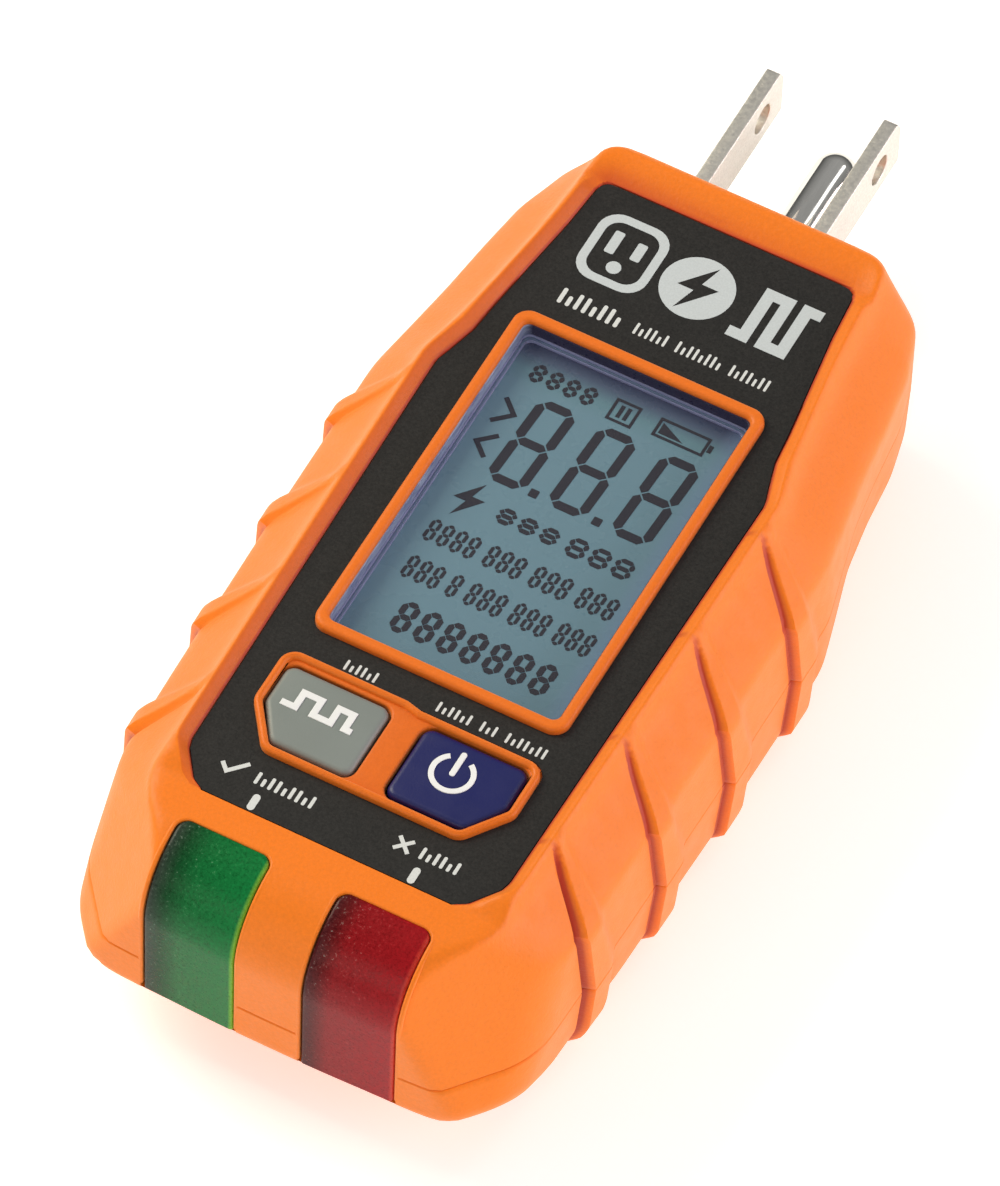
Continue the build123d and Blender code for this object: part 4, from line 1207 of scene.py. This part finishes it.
def buttons():
    """The two push buttons with their raised symbols."""
    grey = moulded("test_button_grey", srgb(126, 134, 131), 0.48, grain=0.014, per_mm=4.0)
    blue = moulded("power_button_blue", srgb(5, 16, 88), 0.42, grain=0.014, per_mm=4.0)
    white = moulded("symbol_white", srgb(236, 238, 240), 0.4, grain=0.004)
    for right, name, material, slot in (
        (False, "test_button", grey, "grey_plastic"), (True, "power_button", blue, "blue_plastic"),
    ):
        foot, top = (corner[2] for corner in datum_box(name))
        cap = plate_mesh("cap", [button_outline(right)], foot + 0.2, top, 0.62, 6)
        flange = plate_mesh("flange", [button_outline(right, 0.8)], foot, foot + 0.8, 0.1)
        add_piece(name + "_cap", join(name + "_cap", [cap, flange]), material, name, slot, name)
    top = datum_box("test_button")[1][2]
    for name, outlines, body in (
        ("test_symbol", pulse_symbol(-7.6, -67.3, 7.4, 2.5, 0.68), "test_button"),
        ("power_symbol_ring", [power_arc(6.4, -67.7, 2.25, 1.7)], "power_button"),
        ("power_symbol_bar", [rectangle(6.1, 6.68, -68.0, -65.1, 0.28)], "power_button"),
    ):
        add_plate(name, outlines, top - 0.2, top + 0.1, 0.05, white, body, "white_plastic")


POWER_GAP = 33


def power_arc(x, y, outer, inner):
    """A ring that stays open at its top, POWER_GAP degrees to either side."""
    first, last = 90 + POWER_GAP, 450 - POWER_GAP
    turns = [(outer, a) for a in range(first, last + 1, 6)]
    turns += [(inner, a) for a in range(last, first - 1, -6)]
    return [(x + r * cos(radians(a)), y + r * sin(radians(a))) for r, a in turns]


def stroke(points, width):
    """The outline of an open line drawn with a square pen of that width."""
    points = [Vector(p) for p in points]
    sides = ([], [])
    for i, point in enumerate(points):
        before = (point - points[i - 1]).normalized() if i else None
        after = (points[i + 1] - point).normalized() if i + 1 < len(points) else None
        n0 = Vector((-before.y, before.x)) if before else Vector((-after.y, after.x))
        n1 = Vector((-after.y, after.x)) if after else n0
        bisector = (n0 + n1).normalized()
        reach = width / 2 / max(bisector.dot(n0), 0.3)
        sides[0].append(tuple(point + bisector * reach))
        sides[1].append(tuple(point - bisector * reach))
    return sides[0] + sides[1][::-1]


def pulse_symbol(x, y, width, height, pen):
    """A square pulse, the usual sign for a test signal."""
    low, high = y - (height / 2 - pen / 2), y + (height / 2 - pen / 2)
    shape = [
        (-1, low), (-0.6, low), (-0.6, high), (-0.1, high), (-0.1, low), (0.4, low), (0.4, high),
        (0.8, high), (0.8, low), (1, low),
    ]
    return [stroke([(x + width / 2 * share, level) for share, level in shape], pen)]


# ---- what is printed on the overlay ----
def ticks(x0, x1, y0, y1, groups, pen):
    """Groups of fine upright ticks, every third one short, in place of words."""
    count = sum(groups)
    pitch = (x1 - x0 - pen) / (count - 1 + 1.2 * (len(groups) - 1))
    outlines = []
    x = x0
    for group in groups:
        for number in range(group):
            top = y1 - (y1 - y0) * 0.35 if number % 3 == 1 else y1
            outlines.append(rectangle(x, x + pen, y0, top, pen * 0.4, 2))
            x += pitch
        x += 1.2 * pitch
    return outlines


def bolt(x, y, size):
    """A lightning bolt's outline."""
    shape = [(0.15, 0.5), (-0.32, -0.06), (-0.04, -0.06), (-0.18, -0.5), (0.32, 0.1), (0.03, 0.1)]
    return [(x + a * size, y + b * size) for a, b in shape]


def cross(x, y, size, pen):
    """A diagonal cross's outline."""
    a, b = size / 2 * 2 ** 0.5, pen / 2
    points = [
        (b, b), (a, b), (a, -b), (b, -b), (b, -a), (-b, -a), (-b, -b), (-a, -b), (-a, b), (-b, b), (-b, a),
        (b, a),
    ]
    return [(x + (p - q) * 0.5 ** 0.5, y + (p + q) * 0.5 ** 0.5) for p, q in points]


PRINT_Z = (-0.02, 0.035)


def overlay_print():
    """Plain signs in place of words: a socket, a bolt and a pulse, then ticks, a check mark and a cross."""
    ink = print_ink("print_grey", srgb(196, 204, 208))
    pale = print_ink("print_white", srgb(214, 218, 218))
    pictograms = [
        rectangle(-11.6, -4.2, -11.0, -2.6, 2.2), rectangle(-10.7, -5.1, -10.1, -3.5, 1.5),
        rectangle(-9.7, -8.7, -7.4, -4.6, 0.2), rectangle(-7.1, -6.1, -7.1, -4.9, 0.2),
        circle(-7.9, -8.7, 0.75, 20), circle(0.2, -7.0, 3.7, 40), bolt(0.2, -7.0, 6.2),
        stroke([(4.9, -9.9), (6.6, -9.9), (6.6, -4.3), (8.6, -4.3), (8.6, -9.9), (10.6, -9.9), (10.6, -4.3),
                (12.2, -4.3)], 1.2),
    ]
    add_plate("overlay_pictograms", pictograms, *PRINT_Z, 0.0, ink, "case", "overlay")
    marks = ticks(-10.8, -4.4, -14.9, -13.0, [8], 0.42)
    marks += ticks(-2.8, 11.4, -14.7, -13.3, [6, 8, 7], 0.27)
    marks += ticks(-8.2, -4.9, -62.0, -60.8, [6], 0.27)
    marks += ticks(1.5, 12.8, -62.0, -60.8, [6, 3, 7], 0.27)
    marks += [stroke([(-12.9, -76.4), (-12.1, -77.2), (-10.5, -75.5)], 0.42)]
    marks += ticks(-9.3, -3.3, -77.2, -75.8, [9], 0.34)
    marks += [cross(6.1, -76.5, 1.5, 0.4)]
    marks += ticks(7.9, 11.8, -77.2, -75.8, [6], 0.34)
    marks += [rectangle(x - 0.37, x + 0.37, -80.0, -78.1, 0.37, 5) for x in (-8.2, 8.5)]
    add_plate("overlay_marks", marks, *PRINT_Z, 0.0, pale, "case", "overlay")


# ---- the display ----
SLANT = 0.045


def digit(x0, y0, width, height, pen, gap=0.12):
    """The seven bars of a leaning figure eight."""
    half = pen / 2
    middle = y0 + height / 2

    def lean(points):
        return [(x + (y - y0) * SLANT, y) for x, y in points]

    def across(y):
        a, b = x0 + gap, x0 + width - gap
        return lean([
            (a, y), (a + half, y - half), (b - half, y - half), (b, y), (b - half, y + half),
            (a + half, y + half),
        ])

    def up(x, low, high):
        a, b = low + gap, high - gap
        return lean([
            (x, a), (x + half, a + half), (x + half, b - half), (x, b), (x - half, b - half),
            (x - half, a + half),
        ])

    outlines = [across(y0), across(middle), across(y0 + height)]
    for x in (x0, x0 + width):
        outlines += [up(x, y0, middle), up(x, middle, y0 + height)]
    return outlines


def figure_row(x0, x1, y0, y1, groups, pen, space):
    """A row of small figure eights in groups, as a display shows with every bar on."""
    count = sum(groups)
    gap = pen * 0.9
    room = x1 - x0 - space * (len(groups) - 1) - gap * (count - len(groups))
    width = room / count - pen
    outlines = []
    x = x0 + pen / 2
    for group in groups:
        for _ in range(group):
            outlines += digit(x, y0 + pen / 2, width, y1 - y0 - pen, pen, 0.05)
            x += width + pen + gap
        x += space - gap
    return outlines


def display_figures():
    """Outlines of everything that the display shows: large and small figure eights and plain symbols."""
    figures = []
    for x in (-7.3, -0.85, 5.85):
        figures += digit(x, -34.55, 3.2, 9.8, 0.95)
    figures += [rectangle(x - 0.45, x + 0.45, -35.0, -34.05, 0.1, 2) for x in (-2.7, 4.0)]
    figures += [
        stroke([(-10.2, -25.9), (-8.6, -27.4), (-10.3, -29.0)], 0.5),
        stroke([(-8.7, -30.2), (-10.3, -31.7), (-8.8, -33.1)], 0.5),
        bolt(-7.7, -38.1, 4.6),
    ]
    figures += figure_row(-9.6, -2.8, -23.1, -20.9, [4], 0.45, 0)
    figures += [
        rectangle(-1.0, 1.7, -23.5, -20.8), rectangle(-0.7, 1.4, -23.2, -21.1),
        rectangle(-0.2, 0.2, -22.9, -21.4), rectangle(0.5, 0.9, -22.9, -21.4),
        rectangle(3.7, 9.1, -23.1, -20.8), rectangle(4.0, 8.8, -22.8, -21.1),
        [(4.2, -22.6), (4.2, -21.3), (6.8, -22.6)], rectangle(9.2, 9.65, -22.4, -21.5),
    ]
    for row in (
        (-4.6, 1.8, -39.1, -37.2, [3], 0.5, 0), (2.8, 9.6, -39.3, -37.0, [3], 0.5, 0),
        (-9.6, 10.3, -44.2, -41.5, [4, 3, 3, 3], 0.36, 1.0),
        (-9.4, 10.3, -48.9, -46.1, [3, 1, 3, 3, 3], 0.36, 0.9), (-7.5, 8.9, -54.8, -51.0, [7], 0.62, 0),
    ):
        figures += figure_row(*row)
    return figures


def display():
    """The window, the stepped frame under its edge and, at the bottom, the liquid crystal's dark figures."""
    dark = print_ink("segment_dark", srgb(40, 40, 44))
    face_z = datum_box("display_glass")[1][2]
    foot_z = face_z - 0.01
    add_plate("display_figures", display_figures(), foot_z, face_z + 0.03, 0.0, dark, "case",
              "display_glass")
    low, high = WINDOW[0][2], WINDOW[1][2]
    pane = plate_mesh("display_pane", [window_outline(-0.14)], low, high, 0.1)
    add_piece("display_pane", pane, clear_lens(), "case", "clear_plastic", "display_window")
    sleeve = sleeve_plastic()
    # the pale and the cool blue of the frame's ledges are painted reflection seen along the window's edge
    pale = moulded("frame_pale", srgb(150, 156, 196), 0.3, grain=0.004)
    cool = moulded("frame_cool", srgb(104, 124, 150), 0.3, grain=0.004)
    for name, outside, inside, top, tint in (
        ("frame_sleeve", 0.04, -0.1, high - 0.12, sleeve), ("frame_ledge", -0.1, -0.22, low - 0.25, pale),
        ("frame_step", -0.22, -0.42, low - 0.5, cool), ("frame_lip", -0.42, -0.52, low - 0.62, pale),
    ):
        ring = [window_outline(outside), window_outline(inside)]
        add_plate(name, ring, foot_z, top, 0.03, tint, "case", "black_plastic")


# ---- lenses ----
LENS_GAP = 0.06
LENS_THICK = 1.7
LENS_SOFT = 0.22
LENS_INSET = 0.04
LENS_EDGE_R = 0.26
ARC_LENGTH = LAMP_END_R * pi / 2

# places along a lens from its near edge, then the steps over the arc and down to its foot
NEAR_ROWS = np.array([0, 0.08, 0.25, 0.5, 0.85, 1.25])
ARC_ROWS = 30
DOWN_ROWS = 14
# places across a lens, as shares of half its width
LENS_COLUMNS = np.concatenate([[-1, -0.985, -0.96], np.linspace(-0.92, 0.92, 30), [0.96, 0.985, 1]])


def over_end(x, s, inset):
    """A point that far under the case's skin. s runs over the lamp end and down it, from the arc's start."""
    turn = min(max(s / LAMP_END_R, 0), pi / 2)
    radius = LAMP_END_R - inset
    y = LAMP_ARC_Y - radius * sin(turn) - min(s, 0)
    z = LAMP_ARC_Z + radius * cos(turn) - max(s - ARC_LENGTH, 0)
    share = min(max(s / ARC_LENGTH, 0), 1)
    return x, y + LAMP_CROWN * (x / CROWN_HALF_W) ** 2 * share, z


def lens_edge(side, plastic):
    """The rounded edge of a lens's opening."""
    radius = LENS_EDGE_R
    reach = LENS_W / 2 + LENS_GAP + radius
    corner = LENS_R + radius
    start = LAMP_ARC_Y - LENS_TOP_Y - LENS_GAP - radius
    foot = ARC_LENGTH + LAMP_TOP_Z - LAMP_END_R - LENS_FOOT_Z - 0.5
    half = [(reach, s) for s in np.linspace(foot, start + corner, 60)]
    for a in np.linspace(0.1, pi / 2, 12):
        half.append((reach - corner + corner * cos(a), start + corner - corner * sin(a)))
    whole = [over_end(LENS_X + u, s, radius - 0.02) for u, s in half + [(-u, s) for u, s in reversed(half)]]
    mesh = curve_mesh(
        "edge", [[(side * x, y, z) for x, y, z in whole]], False, dimensions="3D", bevel_depth=radius,
        bevel_resolution=3,
    )
    paint_shadow(mesh, np.zeros(len(mesh.vertices)))
    name = "left_lens_edge" if side < 0 else "right_lens_edge"
    add_piece(name, mesh, plastic, "case", "case_plastic", angle=60)


def lens_skin(side, inset, begin, along):
    """Points of a lens's outer or inner skin, row by row; the outer one is softened at its edges."""
    half = LENS_W / 2 - LENS_GAP
    points = []
    for s in along:
        near = s - begin
        width = half
        if near < LENS_R:
            width = half - LENS_R + (LENS_R ** 2 - (LENS_R - near) ** 2) ** 0.5
        for u in LENS_COLUMNS:
            edge = min((1 - abs(u)) * width, near + 0.02)
            lower = LENS_SOFT * (1 - min(edge / LENS_SOFT, 1)) ** 2 if inset == LENS_INSET else 0
            x, y, z = over_end(LENS_X + u * width, s, inset + lower)
            points.append((side * x, y, z))
    return points


def skin_faces(rows, row):
    """Faces of two skins of rows x row points, one after the other, and of the wall round their edge."""
    count = rows * row
    faces = []
    for r in range(rows - 1):
        for c in range(row - 1):
            a = r * row + c
            faces.append((a, a + 1, a + row + 1, a + row))
            faces.append((count + a, count + a + row, count + a + row + 1, count + a + 1))
    ring = list(range(row)) + [r * row + row - 1 for r in range(1, rows)]
    ring += [(rows - 1) * row + c for c in range(row - 2, -1, -1)]
    ring += [r * row for r in range(rows - 2, 0, -1)]
    for a, b in zip(ring, ring[1:] + ring[:1]):
        faces.append((a, count + a, count + b, b))
    return faces


def lens_piece(side, material, name, node):
    """A lens that wraps over the lamp end as an even skin with softened edges."""
    begin = -max(LENS_TOP_Y - LENS_GAP - LAMP_ARC_Y, 0.0)
    drop = LAMP_ARC_Z - LENS_FOOT_Z - LENS_GAP
    along = np.concatenate([
        begin + NEAR_ROWS, np.linspace(NEAR_ROWS[-1] + begin, ARC_LENGTH, ARC_ROWS)[1:],
        ARC_LENGTH + np.linspace(0, drop, DOWN_ROWS)[1:],
    ])
    points = [p for inset in (LENS_INSET, LENS_THICK) for p in lens_skin(side, inset, begin, along)]
    mesh = rework(mesh_from(name, points, skin_faces(len(along), len(LENS_COLUMNS))), weld=False)
    add_piece(name, mesh, material, "case", node, node, angle=45)


def lenses(plastic):
    """The green and the red lens, and the rounded edges of their openings."""
    # each lens: the colour of its painted shade, its own colour, its painted highlight, and where shade and
    # light lie across it
    green = lamp_lens(
        "green_lens_plastic", srgb(46, 54, 48), srgb(0, 102, 46), srgb(136, 196, 56), -13.0, -3.6, 0.4,
    )
    red = lamp_lens(
        "red_lens_plastic", srgb(66, 14, 20), srgb(136, 4, 14), srgb(214, 70, 52), 3.6, 13.1, 0.29,
    )
    for side in (-1, 1):
        lens_edge(side, plastic)
    lens_piece(-1, green, "green_lens_skin", "green_lens")
    lens_piece(1, red, "red_lens_skin", "red_lens")


# ---- the prongs ----
BLADE_CORNERS = [0.2, 0.35, 0.5, 0.5, 0.2]
BLADE_CHAMFER = (0.75, 1.25)
BLADE_HOLE_R = 1.6
BLADE_HOLE_FROM_TIP = 4.3
PIN_CORE_R = 2.0
AROUND_PIN = 48


def blade(name, nickel):
    """A flat blade with a hole, a chamfered corner and rounded edges."""
    (x0, y0, z0), (x1, y1, z1) = datum_box(name)
    along, up = BLADE_CHAMFER
    corners = [(y0, z0), (y1, z0), (y1, z1 - up), (y1 - along, z1), (y0, z1)]
    hole = circle(y1 - BLADE_HOLE_FROM_TIP, (z0 + z1) / 2, BLADE_HOLE_R, 28)
    mesh = plate_mesh(name + "_strip", [round_corners(corners, BLADE_CORNERS, 4), hole], x0, x1, 0.14, 3)
    mesh.transform(Matrix(((0, 0, 1, 0), (1, 0, 0, 0), (0, 1, 0, 0), (0, 0, 0, 1))))
    add_piece(name + "_strip", mesh, nickel, "case", "plated_blade", name, angle=50)


def round_pin(chrome):
    """The ground pin, turned to a round tip, on a thinner core inside the case."""
    low, high = datum_box("ground_pin")
    radius = (high[0] - low[0]) / 2
    tip = high[1]
    profile = [(low[1], 0.0), (low[1], PIN_CORE_R), (PRONG_END_Y, PIN_CORE_R)]
    profile += [(PRONG_END_Y + 0.02, radius - 0.02)]
    profile += [(y, radius) for y in np.linspace(PRONG_END_Y + 0.4, tip - radius, 8)]
    for a in np.linspace(0.12, pi / 2 - 0.05, 12):
        profile.append((tip - radius + radius * sin(a), radius * cos(a)))
    profile.append((tip, 0.0))
    rings = [circle(0, (low[2] + high[2]) / 2, r, AROUND_PIN) for _, r in profile]
    vertices = [(x, y, z) for (y, _), ring in zip(profile, rings) for x, z in ring]
    faces = []
    for first in range(0, AROUND_PIN * (len(profile) - 1), AROUND_PIN):
        for n in range(AROUND_PIN):
            a, b = first + n, first + (n + 1) % AROUND_PIN
            faces.append((a, b, b + AROUND_PIN, a + AROUND_PIN))
    mesh = rework(mesh_from("ground_pin_round", vertices, faces))
    add_piece("ground_pin_round", mesh, chrome, "case", "plated_pin", "ground_pin", angle=45)


def prongs():
    """The two blades and the ground pin."""
    nickel = metal("tumbled_nickel", srgb(228, 224, 215), 0.42, per_mm=3.4, depth=0.03)
    chrome = metal("bright_nickel", srgb(222, 220, 214), 0.07, per_mm=0.8, depth=0.004, stretch=(1, 0.2, 1))
    for name in ("neutral_blade", "hot_blade"):
        blade(name, nickel)
    round_pin(chrome)


# ---- CAD nodes that stay ----
def dress(node, material):
    """Gives a CAD node a finished material."""
    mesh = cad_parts[node].data
    mesh.materials.clear()
    mesh.materials.append(material)


def inner_parts(plastic):
    """Materials for the CAD pieces that stay as they are."""
    board = Paint("board_green", srgb(22, 84, 48), 0.35)
    board.tint(board.noise(1.4, 3.0), srgb(18, 70, 40), srgb(30, 100, 60))
    board.bump((board.noise(3.0), 0.02))
    black = moulded("black_resin", srgb(34, 34, 36), 0.5)
    white = moulded("white_resin", srgb(226, 226, 220), 0.42)
    rubber = moulded("contact_rubber", srgb(150, 150, 155), 0.75, grain=0.03)
    steel = metal("zinc_steel", srgb(190, 190, 186), 0.3, per_mm=4.0, depth=0.01)
    spring = metal("contact_nickel", srgb(205, 200, 188), 0.28, per_mm=3.0, depth=0.01)
    jacket = moulded("cell_jacket", srgb(44, 46, 52), 0.3, grain=0.003, drift=0.2)
    vinyl = moulded("lead_vinyl", srgb(40, 40, 42), 0.4)
    green_lamp = moulded("green_lamp_resin", srgb(60, 150, 90), 0.2, **{"Transmission Weight": 0.4})
    red_lamp = moulded("red_lamp_resin", srgb(170, 50, 50), 0.2, **{"Transmission Weight": 0.4})
    ceramic = moulded("disc_coating", srgb(28, 70, 130), 0.35, grain=0.02)
    film = moulded("film_case", srgb(176, 40, 32), 0.4)
    for material, nodes in (
        (overlay_film(), ["overlay_label"]),
        (crystal(), ["display_glass"]),
        (plastic, ["battery_door"]),
        (board.material, ["main_board"]),
        (black, ["display_holder", "test_switch_body", "power_switch_body", "controller_chip",
                 "load_resistors", "prong_carrier"]),
        (white, ["display_backlight", "test_switch_plunger", "power_switch_plunger"]),
        (rubber, ["upper_contact_strip", "lower_contact_strip"]),
        (steel, ["board_screws", "case_screws"]),
        (spring, ["bridge_contact", "left_end_contact", "right_end_contact", "battery_springs"]),
        (jacket, ["left_cell", "right_cell"]),
        (vinyl, ["neutral_lead", "hot_lead", "ground_lead"]),
        (green_lamp, ["green_lamp"]), (red_lamp, ["red_lamp"]),
        (ceramic, ["surge_disc"]), (film, ["dropper_capacitor"]),
    ):
        for node in nodes:
            dress(node, material)


camera()
studio()
plastic = case_plastic()
shells(plastic)
frames(plastic)
buttons()
overlay_print()
display()
lenses(plastic)
prongs()
inner_parts(plastic)

bpy.context.view_layer.update()
